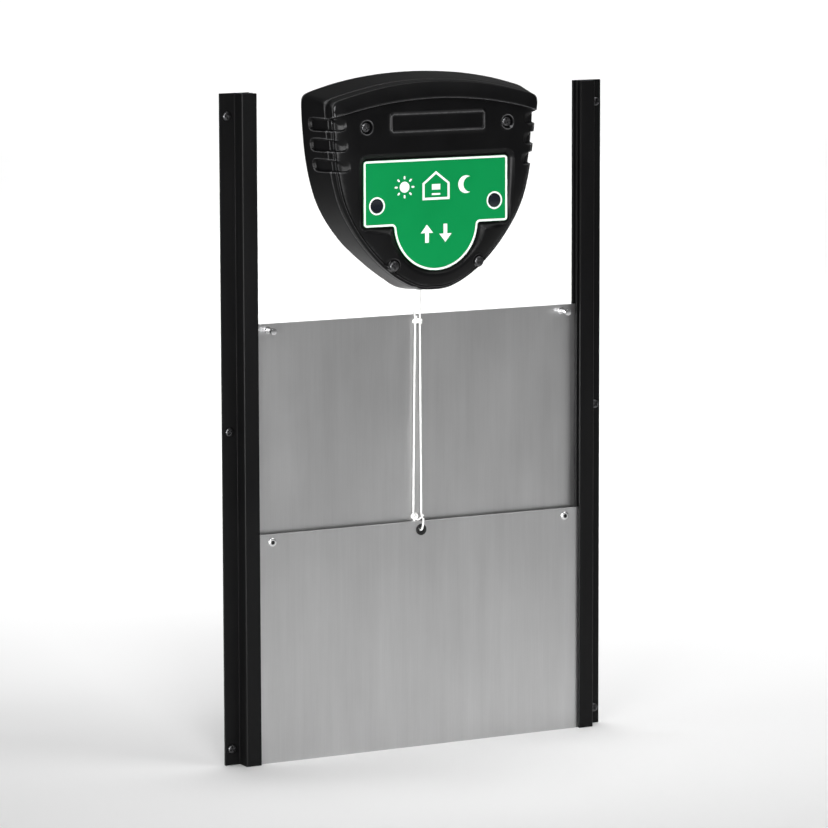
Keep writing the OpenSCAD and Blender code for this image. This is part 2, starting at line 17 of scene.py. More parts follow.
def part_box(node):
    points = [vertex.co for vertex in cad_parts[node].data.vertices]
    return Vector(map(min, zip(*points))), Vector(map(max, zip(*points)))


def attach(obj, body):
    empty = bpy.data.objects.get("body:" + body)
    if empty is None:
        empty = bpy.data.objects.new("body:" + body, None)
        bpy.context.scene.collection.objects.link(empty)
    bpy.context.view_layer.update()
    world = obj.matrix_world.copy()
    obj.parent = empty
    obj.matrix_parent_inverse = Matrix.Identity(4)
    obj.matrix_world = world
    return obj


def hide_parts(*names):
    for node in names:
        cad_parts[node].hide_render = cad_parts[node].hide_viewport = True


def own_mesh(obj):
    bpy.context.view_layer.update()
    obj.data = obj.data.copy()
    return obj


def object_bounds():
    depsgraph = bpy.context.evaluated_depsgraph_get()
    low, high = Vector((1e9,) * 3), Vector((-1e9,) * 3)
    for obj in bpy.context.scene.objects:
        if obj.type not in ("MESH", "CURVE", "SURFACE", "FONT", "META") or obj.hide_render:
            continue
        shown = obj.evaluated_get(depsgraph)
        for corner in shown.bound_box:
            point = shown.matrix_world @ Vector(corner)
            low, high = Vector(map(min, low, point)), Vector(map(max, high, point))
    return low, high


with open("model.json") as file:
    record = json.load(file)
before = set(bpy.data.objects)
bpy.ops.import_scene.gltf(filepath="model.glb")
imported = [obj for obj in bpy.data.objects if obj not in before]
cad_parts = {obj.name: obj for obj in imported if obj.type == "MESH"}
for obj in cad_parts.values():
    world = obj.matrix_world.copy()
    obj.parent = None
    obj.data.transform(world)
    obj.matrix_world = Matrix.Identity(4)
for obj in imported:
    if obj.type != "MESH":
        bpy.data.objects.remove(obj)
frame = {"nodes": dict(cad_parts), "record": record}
CAD_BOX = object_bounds()
MM = 0.001
scene = bpy.context.scene


def node_box(name):
    """Lowest and highest corner of a CAD node, in millimetres."""
    low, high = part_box(name)
    return np.array(low) / MM, np.array(high) / MM


# ---------------------------------------------------------------- camera
CAMERA_PLACE = Vector((-1.5190, -2.7937, 0.4466))
CAMERA_YAW = 28.534
CAMERA_PITCH = 7.909
CAMERA_ROLL = -0.159
CAMERA_LENS = 192.92


def make_camera():
    """A long lens from the left and a little above."""
    data = bpy.data.cameras.new("camera")
    data.sensor_width = 36.0
    data.lens = CAMERA_LENS
    data.clip_end = 100.0
    camera = bpy.data.objects.new("camera", data)
    scene.collection.objects.link(camera)
    yaw, pitch, roll = (math.radians(a) for a in (CAMERA_YAW, CAMERA_PITCH, CAMERA_ROLL))
    forward = Vector((math.sin(yaw) * math.cos(pitch), math.cos(yaw) * math.cos(pitch), -math.sin(pitch)))
    level = Vector((math.cos(yaw), -math.sin(yaw), 0))
    above = level.cross(forward)
    right = math.cos(roll) * level + math.sin(roll) * above
    up = -math.sin(roll) * level + math.cos(roll) * above
    turn = Matrix((right, up, -forward)).transposed().to_4x4()
    camera.matrix_world = Matrix.Translation(CAMERA_PLACE) @ turn
    scene.camera = camera


make_camera()


# ---------------------------------------------------------------- materials
class Shader:
    """A principled material that is put together node by node."""

    def __init__(self, name, **constants):
        self.material = bpy.data.materials.new(name)
        self.material.use_nodes = True
        self.tree = self.material.node_tree
        self.surface = self.tree.nodes["Principled BSDF"]
        for socket, value in constants.items():
            self.surface.inputs[socket.replace("_", " ")].default_value = value
        self.place = self.add("ShaderNodeTexCoord").outputs["Object"]

    def add(self, kind, **settings):
        node = self.tree.nodes.new(kind)
        for key, value in settings.items():
            setattr(node, key, value)
        return node

    def link(self, out, into):
        self.tree.links.new(out, into)

    def noise(self, size_mm, stretch=(1, 1, 1), detail=4.0, roughness=0.55):
        """Noise whose blobs are about size_mm across, wider along axes with a stretch below 1."""
        mapping = self.add("ShaderNodeMapping")
        mapping.inputs["Scale"].default_value = stretch
        self.link(self.place, mapping.inputs["Vector"])
        node = self.add("ShaderNodeTexNoise")
        for socket, number in (("Scale", 1.0 / (size_mm * MM)), ("Detail", detail), ("Roughness", roughness)):
            node.inputs[socket].default_value = number
        self.link(mapping.outputs["Vector"], node.inputs["Vector"])
        return node.outputs["Fac"]

    def remap(self, value, low, high, to_low, to_high):
        node = self.add("ShaderNodeMapRange")
        for socket, number in zip(("From Min", "From Max", "To Min", "To Max"), (low, high, to_low, to_high)):
            node.inputs[socket].default_value = number
        self.link(value, node.inputs["Value"])
        return node.outputs["Result"]

    def combine(self, operation, a, b):
        """One arithmetic step on two values, each a number or another node's output."""
        node = self.add("ShaderNodeMath", operation=operation)
        for socket, value in ((node.inputs[0], a), (node.inputs[1], b)):
            if isinstance(value, (int, float)):
                socket.default_value = value
            else:
                self.link(value, socket)
        return node.outputs["Value"]

    def colours(self, value, stops):
        """A colour ramp between two stops of (position, (red, green, blue))."""
        node = self.add("ShaderNodeValToRGB")
        for element, (position, colour) in zip(node.color_ramp.elements, stops):
            element.position = position
            element.color = (*colour, 1.0)
        self.link(value, node.inputs["Fac"])
        return node.outputs["Color"]

    def mix(self, amount, first, second):
        node = self.add("ShaderNodeMix", data_type="RGBA")
        self.link(amount, node.inputs["Factor"])
        for socket, value in ((node.inputs["A"], first), (node.inputs["B"], second)):
            if isinstance(value, tuple):
                socket.default_value = (*value, 1.0)
            else:
                self.link(value, socket)
        return node.outputs["Result"]

    def wear_and_highlight(self, low, high):
        """How exposed an edge is, from 0 on flat walls to 1 on sharp outer edges, broken up by noise: the
        mask for rubbed wear and for a painted highlight along the edges.
        """
        edge = self.remap(self.add("ShaderNodeNewGeometry").outputs["Pointiness"], low, high, 0.0, 1.0)
        return self.combine("MULTIPLY", edge, self.remap(self.noise(2.4), 0.35, 0.65, 0.55, 1.0))

    def bump(self, height, depth_mm, strength):
        node = self.add("ShaderNodeBump")
        node.inputs["Strength"].default_value = strength
        node.inputs["Distance"].default_value = depth_mm * MM
        self.link(height, node.inputs["Height"])
        self.link(node.outputs["Normal"], self.surface.inputs["Normal"])

    def into(self, socket, value):
        self.link(value, self.surface.inputs[socket])


CASE_DARK = (0.0022, 0.0022, 0.0024)
CASE_LIGHT = (0.0040, 0.0040, 0.0043)
CASE_ROUGH = 0.36
# Pale colour on every sharp outer edge: a painted highlight standing in for edge glints, with some rubbed
# wear in it
EDGE_WEAR_AND_HIGHLIGHT = (0.17, 0.17, 0.174)


def case_finish():
    """Satin moulded plastic: fine spark texture, slow changes of gloss, and sharp outer edges that are
    glossier from wear and far paler than wear would make them, as a painted highlight.
    """
    s = Shader("case_plastic", Specular_IOR_Level=0.13)
    fine = s.noise(0.22, detail=3.0)
    slow = s.noise(34.0, detail=5.0)
    wear_and_highlight = s.wear_and_highlight(0.52, 0.58)
    plain = s.colours(slow, [(0.3, CASE_DARK), (0.75, CASE_LIGHT)])
    # The base colour turns pale on sharp edges: painted highlight, partly wear
    s.into("Base Color", s.mix(wear_and_highlight, plain, EDGE_WEAR_AND_HIGHLIGHT))
    gloss = s.combine("ADD", s.remap(slow, 0.3, 0.7, CASE_ROUGH - 0.05, CASE_ROUGH + 0.05),
                      s.remap(fine, 0.3, 0.7, -0.03, 0.03))
    s.into("Roughness", s.combine("SUBTRACT", gloss, s.combine("MULTIPLY", wear_and_highlight, 0.08)))
    s.bump(fine, 0.022, 0.5)
    return s.material


def rail_finish():
    """Black coated extrusion with faint die lines along its length."""
    s = Shader("rail_black", Specular_IOR_Level=0.14)
    lines = s.noise(0.5, stretch=(1, 1, 0.006), detail=3.0)
    slow = s.noise(26.0, stretch=(1, 1, 0.25), detail=4.0)
    speck = s.noise(0.35, detail=2.0)
    s.into("Base Color", s.colours(slow, [(0.3, (0.0030, 0.0030, 0.0032)), (0.75, (0.0052, 0.0052, 0.0054))]))
    gloss = s.combine("ADD", s.remap(slow, 0.3, 0.7, 0.38, 0.47), s.remap(lines, 0.3, 0.7, -0.05, 0.05))
    s.into("Roughness", gloss)
    s.bump(s.combine("ADD", lines, s.combine("MULTIPLY", speck, 0.5)), 0.03, 0.5)
    return s.material


def sheet_finish():
    """Mill finish sheet: rolling grain up the leaf, soft clouds and broad streaks along it."""
    s = Shader("sheet_aluminium", Metallic=1.0)
    grain = s.noise(0.6, stretch=(1, 1, 0.012), detail=5.0, roughness=0.7)
    clouds = s.noise(46.0, stretch=(1, 1, 0.55), detail=5.0, roughness=0.5)
    broad = s.noise(9.0, stretch=(1, 1, 0.06), detail=4.0)
    tone = s.combine("ADD", s.combine("MULTIPLY", clouds, 0.4),
                     s.combine("ADD", s.combine("MULTIPLY", broad, 0.3), s.combine("MULTIPLY", grain, 0.3)))
    s.into("Base Color", s.colours(tone, [(0.38, (0.53, 0.53, 0.532)), (0.62, (0.61, 0.61, 0.612))]))
    gloss = s.combine("ADD", s.remap(clouds, 0.3, 0.7, 0.35, 0.40), s.remap(grain, 0.3, 0.7, -0.05, 0.05))
    s.into("Roughness", gloss)
    s.bump(grain, 0.012, 0.35)
    return s.material


def cord_finish():
    """Braided white cord: the plait is in the mesh, the fibres are in the bump."""
    s = Shader("cord_white", Sheen_Weight=0.25, Sheen_Roughness=0.4, Specular_IOR_Level=0.25)
    fibre = s.noise(0.12, stretch=(1, 1, 0.4))
    slow = s.noise(3.0, detail=3.0)
    s.into("Base Color", s.colours(slow, [(0.3, (0.80, 0.80, 0.78)), (0.7, (0.93, 0.93, 0.92))]))
    s.into("Roughness", s.remap(fibre, 0.3, 0.7, 0.6, 0.85))
    s.bump(fibre, 0.05, 0.5)
    return s.material


# grain size and its detail, size of the patches, swing of the roughness, depth and strength of the
# relief (sizes in mm), and the shader's other settings
METAL = (0.2, 4.0, 6.0, 0.08, 0.01, 0.3, {"Metallic": 1.0})
RUBBER = (0.3, 4.0, 5.0, 0.06, 0.03, 0.4, {"Specular_IOR_Level": 0.3})
PLASTIC = (0.5, 4.0, 12.0, 0.06, 0.01, 0.3, {})
PRINT = (0.25, 2.0, 60.0, 0.04, 0.006, 0.3, {"Specular_IOR_Level": 0.14})


def grained(name, kind, dark, light, rough):
    """Slow changes of colour, and a fine grain in the gloss and the relief."""
    grain_mm, detail, patch_mm, swing, relief_mm, strength, constants = kind
    s = Shader(name, **constants)
    grain = s.noise(grain_mm, detail=detail)
    s.into("Base Color", s.colours(s.noise(patch_mm, detail=3.0), [(0.3, dark), (0.7, light)]))
    s.into("Roughness", s.remap(grain, 0.3, 0.7, rough - swing, rough + swing))
    s.bump(grain, relief_mm, strength)
    return s.material


# darkest and lightest colour, and the mean roughness
GRAINED = {
    "rail_plug": (RUBBER, (0.050, 0.050, 0.052), (0.080, 0.080, 0.082), 0.5),
    "screw_black": (METAL, (0.075, 0.075, 0.078), (0.150, 0.150, 0.154), 0.32),
    "pin_steel": (METAL, (0.72, 0.72, 0.73), (0.86, 0.86, 0.87), 0.22),
    "rivet_aluminium": (METAL, (0.80, 0.80, 0.81), (0.93, 0.93, 0.93), 0.26),
    "grommet_rubber": (RUBBER, (0.006, 0.006, 0.006), (0.014, 0.014, 0.014), 0.62),
    "seal_rubber": (RUBBER, (0.008, 0.008, 0.008), (0.016, 0.016, 0.016), 0.8),
    "label_green": (PRINT, (0.001, 0.205, 0.052), (0.002, 0.230, 0.061), 0.34),
    "label_white": (PRINT, (0.84, 0.85, 0.84), (0.90, 0.91, 0.90), 0.4),
    "window_dark": (PLASTIC, (0.004, 0.006, 0.010), (0.007, 0.010, 0.016), 0.16),
    "board_green": (PLASTIC, (0.010, 0.10, 0.04), (0.02, 0.15, 0.06), 0.4),
    "chip_black": (RUBBER, (0.012, 0.012, 0.012), (0.024, 0.024, 0.024), 0.5),
    "sensor_clear": (PLASTIC, (0.55, 0.58, 0.6), (0.68, 0.7, 0.72), 0.15),
    "switch_plastic": (RUBBER, (0.02, 0.02, 0.022), (0.04, 0.04, 0.043), 0.45),
    "tray_plastic": (RUBBER, (0.014, 0.014, 0.014), (0.026, 0.026, 0.026), 0.5),
    "cell_wrap": (PLASTIC, (0.16, 0.14, 0.04), (0.24, 0.21, 0.06), 0.28),
    "contact_steel": (METAL, (0.62, 0.62, 0.62), (0.78, 0.78, 0.78), 0.2),
    "bracket_plastic": (RUBBER, (0.024, 0.024, 0.024), (0.04, 0.04, 0.04), 0.5),
    "motor_steel": (METAL, (0.5, 0.5, 0.52), (0.64, 0.64, 0.66), 0.3),
    "pinion_steel": (METAL, (0.56, 0.56, 0.57), (0.7, 0.7, 0.71), 0.28),
    "gear_nylon": (PLASTIC, (0.66, 0.65, 0.6), (0.78, 0.77, 0.72), 0.45),
    "bush_bronze": (METAL, (0.42, 0.27, 0.11), (0.58, 0.4, 0.2), 0.4),
    "bush_plastic": (RUBBER, (0.012, 0.012, 0.012), (0.022, 0.022, 0.022), 0.4),
}
MATERIALS = {name: grained(name, *looks) for name, looks in GRAINED.items()}
MATERIALS.update(case_plastic=case_finish(), rail_black=rail_finish(), sheet_aluminium=sheet_finish(),
                 cord_white=cord_finish())


# ---------------------------------------------------------------- making pieces
def piece(name, points, faces, slot, body, replaces=(), smooth_angle=35.0):
    """A mesh in millimetres becomes an object that rides on a body."""
    data = bpy.data.meshes.new(name)
    data.from_pydata((np.asarray(points, float) * MM).tolist(), [], [list(map(int, f)) for f in faces])
    data.update()
    obj = bpy.data.objects.new(name, data)
    scene.collection.objects.link(obj)
    return finished(obj, slot, body, replaces, smooth_angle)


def finished(obj, slot, body, replaces=(), smooth_angle=35.0):
    """Gives a piece its material, its shading, its body and slot, and the CAD nodes it replaces."""
    obj.data.materials.clear()
    obj.data.materials.append(MATERIALS[slot])
    obj.data.shade_smooth()
    obj.data.set_sharp_from_angle(angle=math.radians(smooth_angle))
    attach(obj, body)
    if replaces:
        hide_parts(*replaces)
    return obj


def edged(node, slot, body, width):
    """A CAD node's own form, with its sharp edges rounded, in place of the node."""
    obj = bpy.data.objects.new(node + "_edged", frame["nodes"][node].data.copy())
    scene.collection.objects.link(obj)
    work = bmesh.new()
    work.from_mesh(obj.data)
    bmesh.ops.remove_doubles(work, verts=work.verts, dist=1e-6)
    bmesh.ops.dissolve_limit(work, angle_limit=math.radians(0.5), verts=work.verts, edges=work.edges)
    work.to_mesh(obj.data)
    work.free()
    bevel = obj.modifiers.new("edges", "BEVEL")
    bevel.width = width * MM
    bevel.segments = 3
    bevel.limit_method = "ANGLE"
    bevel.angle_limit = math.radians(38)
    bevel.use_clamp_overlap = False
    bevel.harden_normals = True
    return finished(obj, slot, body, (node,))


def lathe(profile, sides, ring=False):
    """Points and faces of a profile of (radius, height) turned about Z. A radius of 0 closes an end.

    The profile runs so that the solid lies on its left. A ring's last point joins its first.
    """
    points, rings, faces = [], [], []
    for radius, height in profile:
        count = 1 if radius < 1e-6 else sides
        rings.append(range(len(points), len(points) + count))
        for k in range(count):
            angle = 2 * math.pi * k / sides
            points.append((radius * math.cos(angle), radius * math.sin(angle), height))
    if ring:
        rings.append(rings[0])
    for a, b in zip(rings, rings[1:]):
        for k in range(sides):
            n = (k + 1) % sides
            if len(a) == 1:
                faces.append((a[0], b[n], b[k]))
            elif len(b) == 1:
                faces.append((a[k], a[n], b[0]))
            else:
                faces.append((a[k], a[n], b[n], b[k]))
    return np.array(points), faces


def faced(points, at, spin=0.0):
    """Turns a form built along +Z so that it faces the viewer, and puts it at (x, depth, z)."""
    c, s = math.cos(math.radians(spin)), math.sin(math.radians(spin))
    x = points[:, 0] * c - points[:, 1] * s
    z = points[:, 0] * s + points[:, 1] * c
    return np.stack([at[0] + x, -at[1] - points[:, 2], at[2] + z], 1)


def joined(parts):
    """Several (points, faces) as one."""
    points, faces, count = [], [], 0
    for p, f in parts:
        points.append(np.asarray(p, float))
        faces.extend([tuple(i + count for i in face) for face in f])
        count += len(p)
    return np.concatenate(points), faces


# ---------------------------------------------------------------- opener outline
CASE_Z = node_box("rear_case")[0][2]
EDGE_DEPTH = 30.5
SPLIT_DEPTH = 26.0
MID_Z = 82.0
MEAN_REACH = 80.0
SIDE_STATIONS = 16
FINE_SIDE = 70
BACK_SIDE = [(0, 0), (8, 0.5), (17, 3), (26.5, 9), (37, 16.5), (48, 25.5), (58, 34.5), (67, 45), (74.5, 56),
             (80, 67), (84, 79), (87, 92), (89, 106), (90.4, 122), (91, 137), (89.8, 142),
             (86.2, 144.4), (75, 147.8), (60, 151.4), (40, 154.7), (20, 156.5), (0, 157.1)]
FRONT_SIDE = [(0, 2.5), (8, 2.8), (16, 4.8), (26, 9.6), (36, 16.2), (47, 26), (57.5, 38), (66.5, 51),
              (73, 64), (77, 77), (79.8, 91), (81.6, 104), (82.8, 117), (83.6, 129), (84, 134.5), (83, 138.2),
              (79.6, 140.2), (70, 142.9), (56, 146.2), (38, 149.6), (19, 151.6), (0, 152.3)]


def closed_stations(side):
    """A half outline, from bottom to top along the right, closed by its mirror image."""
    half = np.array(side, float)
    return np.concatenate([half, half[-2:0:-1] * (-1, 1)])


BACK_STATIONS = closed_stations(BACK_SIDE)
FRONT_STATIONS = closed_stations(FRONT_SIDE)


def spline(a, b, c, d, s):
    """A point on the smooth curve through b and c, at a fraction s between them."""
    return 0.5 * (2 * b + (c - a) * s + (2 * a - 5 * b + 4 * c - d) * s * s
                  + (3 * b - a - 3 * c + d) * s ** 3)


def on_curve(stations, u):
    """Points of a closed smooth curve through the stations, at station numbers u."""
    i = np.floor(u).astype(int)
    return spline(*(stations[(i + k) % len(stations)] for k in (-1, 0, 1, 2)), (u - i)[:, None])


def even_stations(gap, fine_gap, fine_low, fine_high):
    """Station numbers spaced evenly along the front outline, closer at its sides between two heights."""
    u = np.linspace(0, len(FRONT_STATIONS), 6001)
    p = on_curve(FRONT_STATIONS, u)
    length = np.linalg.norm(np.diff(p, axis=0), axis=1)
    mid = (p[1:] + p[:-1]) / 2
    fine = (mid[:, 1] > fine_low) & (mid[:, 1] < fine_high) & (np.abs(mid[:, 0]) > FINE_SIDE)
    share = length / np.where(fine, fine_gap, gap)
    run = np.concatenate([[0], np.cumsum(share)])
    count = int(round(run[-1] / 2)) * 2
    return np.interp(np.arange(count) * run[-1] / count, run, u)


OUTLINE_U = even_stations(1.3, 0.45, 85.0, 131.0)


def outline(depth, inset):
    """The shell's outline at a depth in front of the wall, drawn in by about inset."""
    t = min(depth / EDGE_DEPTH, 1.0)
    p = on_curve(BACK_STATIONS, OUTLINE_U) * (1 - t) + on_curve(FRONT_STATIONS, OUTLINE_U) * t
    return drawn_in(p, inset)


def drawn_in(p, inset):
    """An outline shrunk towards its middle by about inset."""
    share = 1 - inset / MEAN_REACH
    return np.stack([p[:, 0] * share, MID_Z + (p[:, 1] - MID_Z) * share], 1)


def step(value, width):
    """0 below zero, 1 above width, and a smooth rise between."""
    t = np.clip(np.asarray(value, float) / width, 0, 1)
    return t * t * (3 - 2 * t)


def inset_of(p):
    """How far each point lies inside the front outline, as drawn_in measures it."""
    ring = on_curve(FRONT_STATIONS, np.linspace(0, len(FRONT_STATIONS), 2401)[:-1])
    angle = np.arctan2(ring[:, 1] - MID_Z, ring[:, 0])
    order = np.argsort(angle)
    reach = np.hypot(ring[:, 0], ring[:, 1] - MID_Z)[order]
    here = np.interp(np.arctan2(p[:, 1] - MID_Z, p[:, 0]), angle[order], reach, period=2 * math.pi)
    return MEAN_REACH * (1 - np.hypot(p[:, 0], p[:, 1] - MID_Z) / here)


def side_of(z):
    """Half width of the front outline at a height, along its sides."""
    side = np.array(FRONT_SIDE[:SIDE_STATIONS], float)
    return np.interp(z, side[:, 1], side[:, 0])


# ---------------------------------------------------------------- opener surface features
POCKETS = [(89.3, 98.3), (103.8, 112.8), (118.3, 127.3)]
POCKET_CUT = 2.2
POCKET_REACH = 11.0
POCKET_BACK = 8.0
POCKET_CORNER = 3.6
LIP_MID = 139.3
LIP_END = 127.3
LIP_HALF = 84.0
LABEL_HALF = 58.4
LABEL_TOP = 96.7
LABEL_STEP = 49.5
LABEL_ROUND = 34.0
LABEL_CORNER = 2.5
RECESS_GAP = 0.8
RECESS_SLOPE = 4.0
RECESS_GROOVE = 0.5
LABEL_DEPTH = 33.2
WINDOW_X = 47.7
WINDOW_Z = 64.5
COVER_SCREWS = [(57, 120.6), (-57, 120.6), (34.5, 21.3), (-34.5, 21.3)]
SEAT_R = 4.5
SEAT_DEPTH = 34.0
SEAT_RING = 0.35
WINDOW_R = 5.1
WELL_DEPTH = 30.8
PLATE_HALF = 38.5
PLATE_LOW = 115.5
PLATE_HIGH = 130.0
PLATE_CORNER = 3.0
PLATE_RISE = 1.2
PLATE_SINK = 0.7


def rounded_box(x, z, half_x, half_z, corner):
    """Signed distance to a rounded rectangle centred on zero, negative inside."""
    dx = np.abs(x) - half_x + corner
    dz = np.abs(z) - half_z + corner
    outside = np.hypot(np.maximum(dx, 0), np.maximum(dz, 0))
    return outside + np.minimum(np.maximum(dx, dz), 0) - corner


def label_distance(p):
    """Signed distance to the label's outline: a wide panel with a round lower part."""
    mid = (LABEL_TOP + LABEL_STEP) / 2
    panel = rounded_box(p[:, 0], p[:, 1] - mid, LABEL_HALF, (LABEL_TOP - LABEL_STEP) / 2, LABEL_CORNER)
    disc = np.hypot(p[:, 0], p[:, 1] - LABEL_STEP - 1) - LABEL_ROUND
    blend = 1.4
    h = np.clip(0.5 + 0.5 * (disc - panel) / blend, 0, 1)
    return disc * (1 - h) + panel * h - blend * h * (1 - h)


def plate_distance(p):
    """Signed distance to the outline of the blank plate on the cover."""
    mid = (PLATE_LOW + PLATE_HIGH) / 2
    return rounded_box(p[:, 0], p[:, 1] - mid, PLATE_HALF, (PLATE_HIGH - PLATE_LOW) / 2, PLATE_CORNER)


def lip_height(x):
    """Height of the brow's arched lower edge."""
    return LIP_MID - (LIP_MID - LIP_END) * (x / LIP_HALF) ** 2


def quarter_round(inset, radius):
    """Rise of a rounded edge, from 0 at the edge to radius."""
    return radius * np.sqrt(1 - (1 - np.clip(inset / radius, 0, 1)) ** 2)


ROUND_START = 29.7
RIM_R = 1.0
RIM_RISE = 1.2
CROWN_BAND = 23
CROWN_RISE = 5.8
GROOVE_DEEP = 0.8
GROOVE_AT = 2.5
GROOVE_WIDTH = 0.36
BROW_R = 1.2
BROW_EDGE = 4.6
LIP_BEAD = 0.3
BROW_BAND = 13.0
BROW_SWELL = 3.8


def ridge(offset, width):
    """A rounded ridge: 1 at offset 0, fading out beyond width."""
    return np.exp(-((offset / width) ** 2))


def side_profile(inset):
    """Depth of the cover's crowned front, with the fine groove just inside its edge."""
    s = np.clip((inset - RIM_R) / CROWN_BAND, 0, 1)
    groove = GROOVE_DEEP * ridge(inset - GROOVE_AT, GROOVE_WIDTH)
    return ROUND_START + RIM_RISE * quarter_round(inset, RIM_R) + CROWN_RISE * (1 - (1 - s) ** 2) - groove


def brow_profile(inset):
    """Depth of the cap-like brow along the top: a crisp edge, then a nearly flat band."""
    s = np.clip((inset - BROW_R) / BROW_BAND, 0, 1)
    return ROUND_START + BROW_EDGE * quarter_round(inset, BROW_R) / BROW_R + BROW_SWELL * (1 - (1 - s) ** 1.3)


def front_depth(p, inset):
    """Depth of the cover's front at points p, before the grip pockets."""
    above_lip = p[:, 1] - lip_height(p[:, 0])
    brow = step(above_lip + 0.35, 0.9)
    depth = side_profile(inset) * (1 - brow) + brow_profile(inset) * brow
    depth = depth + LIP_BEAD * ridge(above_lip - 0.75, 0.5) * step(inset - 1.5, 3.0)
    label = label_distance(p)
    wall = step(RECESS_GAP + RECESS_SLOPE - label + 0.25, 0.9)
    slope = np.clip((label - RECESS_GAP) / RECESS_SLOPE, 0, 1)
    sunk = LABEL_DEPTH - RECESS_GROOVE * step(1.2 - np.abs(label - 0.9), 0.8)
    sunk = sunk + (depth - LABEL_DEPTH) * slope ** 0.8
    depth = depth * (1 - wall) + np.minimum(sunk, depth) * wall
    for x, z in COVER_SCREWS:
        r = np.hypot(p[:, 0] - x, p[:, 1] - z)
        depth = depth + SEAT_RING * ridge(r - SEAT_R - 0.75, 0.55)
        cup = step(SEAT_R + 0.25 - r, 0.5)
        depth = depth * (1 - cup) + SEAT_DEPTH * cup
    for x in (-WINDOW_X, WINDOW_X):
        r = np.hypot(p[:, 0] - x, p[:, 1] - WINDOW_Z)
        depth = np.where(r < WINDOW_R, WELL_DEPTH, depth)
    blank = plate_distance(p)
    return depth + PLATE_RISE * step(0.3 - blank, 0.6) - PLATE_SINK * step(-1.6 - blank, 0.5)


def pocket_share(p, along):
    """How deep the grip pockets are at each point, from 0 to 1.

    along runs over the edge: 0 at the front edge, positive on the front, negative down the side.
    """
    share = np.zeros(len(p))
    start = POCKET_BACK - EDGE_DEPTH
    half = (POCKET_REACH - start) / 2
    for low, high in POCKETS:
        z = p[:, 1] - (low + high) / 2
        d = rounded_box(along - (POCKET_REACH + start) / 2, z, half, (high - low) / 2, POCKET_CORNER)
        fade = step(POCKET_REACH - along, 6.0)
        top = step(high - p[:, 1], 0.8 + 4.5 * step(along, 8.0))
        share = np.maximum(share, step(-d, 0.9) * top * (0.25 + 0.75 * fade))
    return share


def pocketed(p, depth, along):
    """Full positions with the grip pockets pressed in. Returns x, depth, height."""
    share = pocket_share(p, along) * POCKET_CUT
    turn = step(along + 2.5, 7.0) * math.pi / 2
    x = p[:, 0] - np.sign(p[:, 0]) * share * np.cos(turn)
    return np.stack([x, depth - share * np.sin(turn), p[:, 1]], 1)


def placed(rows):
    """(x, depth, height above the case's lowest point) to the part's frame."""
    rows = np.asarray(rows, float)
    return np.stack([rows[:, 0], -rows[:, 1], rows[:, 2] + CASE_Z], 1)


def at_depth(plan, depth):
    """Plan points (x, height) as full positions at one depth."""
    return np.stack([plan[:, 0], np.full(len(plan), depth), plan[:, 1]], 1)


def ring_faces(rings, count):
    """Quads between successive closed rings of the same count, given by their first index."""
    faces = []
    for a, b in zip(rings, rings[1:]):
        for k in range(count):
            n = (k + 1) % count
            faces.append((a + k, a + n, b + n, b + k))
    return faces


# ---------------------------------------------------------------- front cover
NET_GAP = 2.0
GRADIENT_STEP = 1e-3


def loop_points(distance, level, box_low, box_high, spacing):
    """Points along the line where distance(p) equals level, found on a fine grid by short steps."""
    xs = np.arange(box_low[0], box_high[0], spacing)
    zs = np.arange(box_low[1], box_high[1], spacing)
    p = np.stack(np.meshgrid(xs, zs), -1).reshape(-1, 2)
    near = p[np.abs(distance(p) - level) < spacing * 0.75]
    for _ in range(3):
        here = distance(near) - level
        gx = (distance(near + (GRADIENT_STEP, 0)) - level - here) / GRADIENT_STEP
        gz = (distance(near + (0, GRADIENT_STEP)) - level - here) / GRADIENT_STEP
        size = np.maximum(gx * gx + gz * gz, 1e-6)
        near = near - np.stack([here * gx / size, here * gz / size], 1)
    return near


def circle(x, z, radius, count):
    """Points evenly round a circle."""
    a = np.linspace(0, 2 * math.pi, count, endpoint=False)
    return np.stack([x + radius * np.cos(a), z + radius * np.sin(a)], 1)


def feature_points():
    """Points that follow each moulded feature of the front, densest where the surface bends."""
    lines = []
    x = np.arange(-LIP_HALF, LIP_HALF + 0.1, 0.9)
    for off in (-1.6, -0.8, -0.5, -0.25, 0.0, 0.25, 0.5, 0.75, 1.0, 1.3, 1.7, 2.3):
        lines.append((np.stack([x, lip_height(x) + off], 1), 0.2))
    low = (-LABEL_HALF - 8, LABEL_STEP - LABEL_ROUND - 8)
    high = (LABEL_HALF + 8, LABEL_TOP + 8)
    for level in (0.2, 0.7, 1.3, 1.8, 2.3, 3.2, 4.1, 4.5, 4.75, 5.0, 5.3, 5.9, 6.9):
        lines.append((loop_points(label_distance, level, low, high, 0.8), 0.5))
    plate_box = ((-PLATE_HALF - 3, PLATE_LOW - 3), (PLATE_HALF + 3, PLATE_HIGH + 3))
    for level in (0.6, 0.25, 0.05, -0.15, -0.35, -0.7, -1.3, -1.65, -1.85, -2.05, -2.3, -2.8):
        lines.append((loop_points(plate_distance, level, *plate_box, 0.7), 0.42))
    for x0, z0 in COVER_SCREWS:
        for radius in (0, 2.0, 3.6, 4.15, 4.25, 4.4, 4.55, 4.7, 4.8, 5.0, 5.25, 5.5, 5.8, 6.2, 6.8, 7.6):
            lines.append((circle(x0, z0, radius, max(1, int(radius * 9))), 0.08))
    for x0 in (-WINDOW_X, WINDOW_X):
        for radius in (0, 2.5, 4.6, WINDOW_R - 0.04, WINDOW_R + 0.04, 5.6, 6.4):
            lines.append((circle(x0, WINDOW_Z, radius, 48 if radius else 1), 0.05))
    for low_z, high_z in POCKETS:
        for z in np.arange(low_z - 0.6, high_z + 0.5, 0.45):
            reach = np.arange(3.6, POCKET_REACH + 1.2, 0.55)
            for sign in (-1, 1):
                lines.append((np.stack([sign * (side_of(z) - reach), np.full(len(reach), z)], 1), 0.3))
    return lines


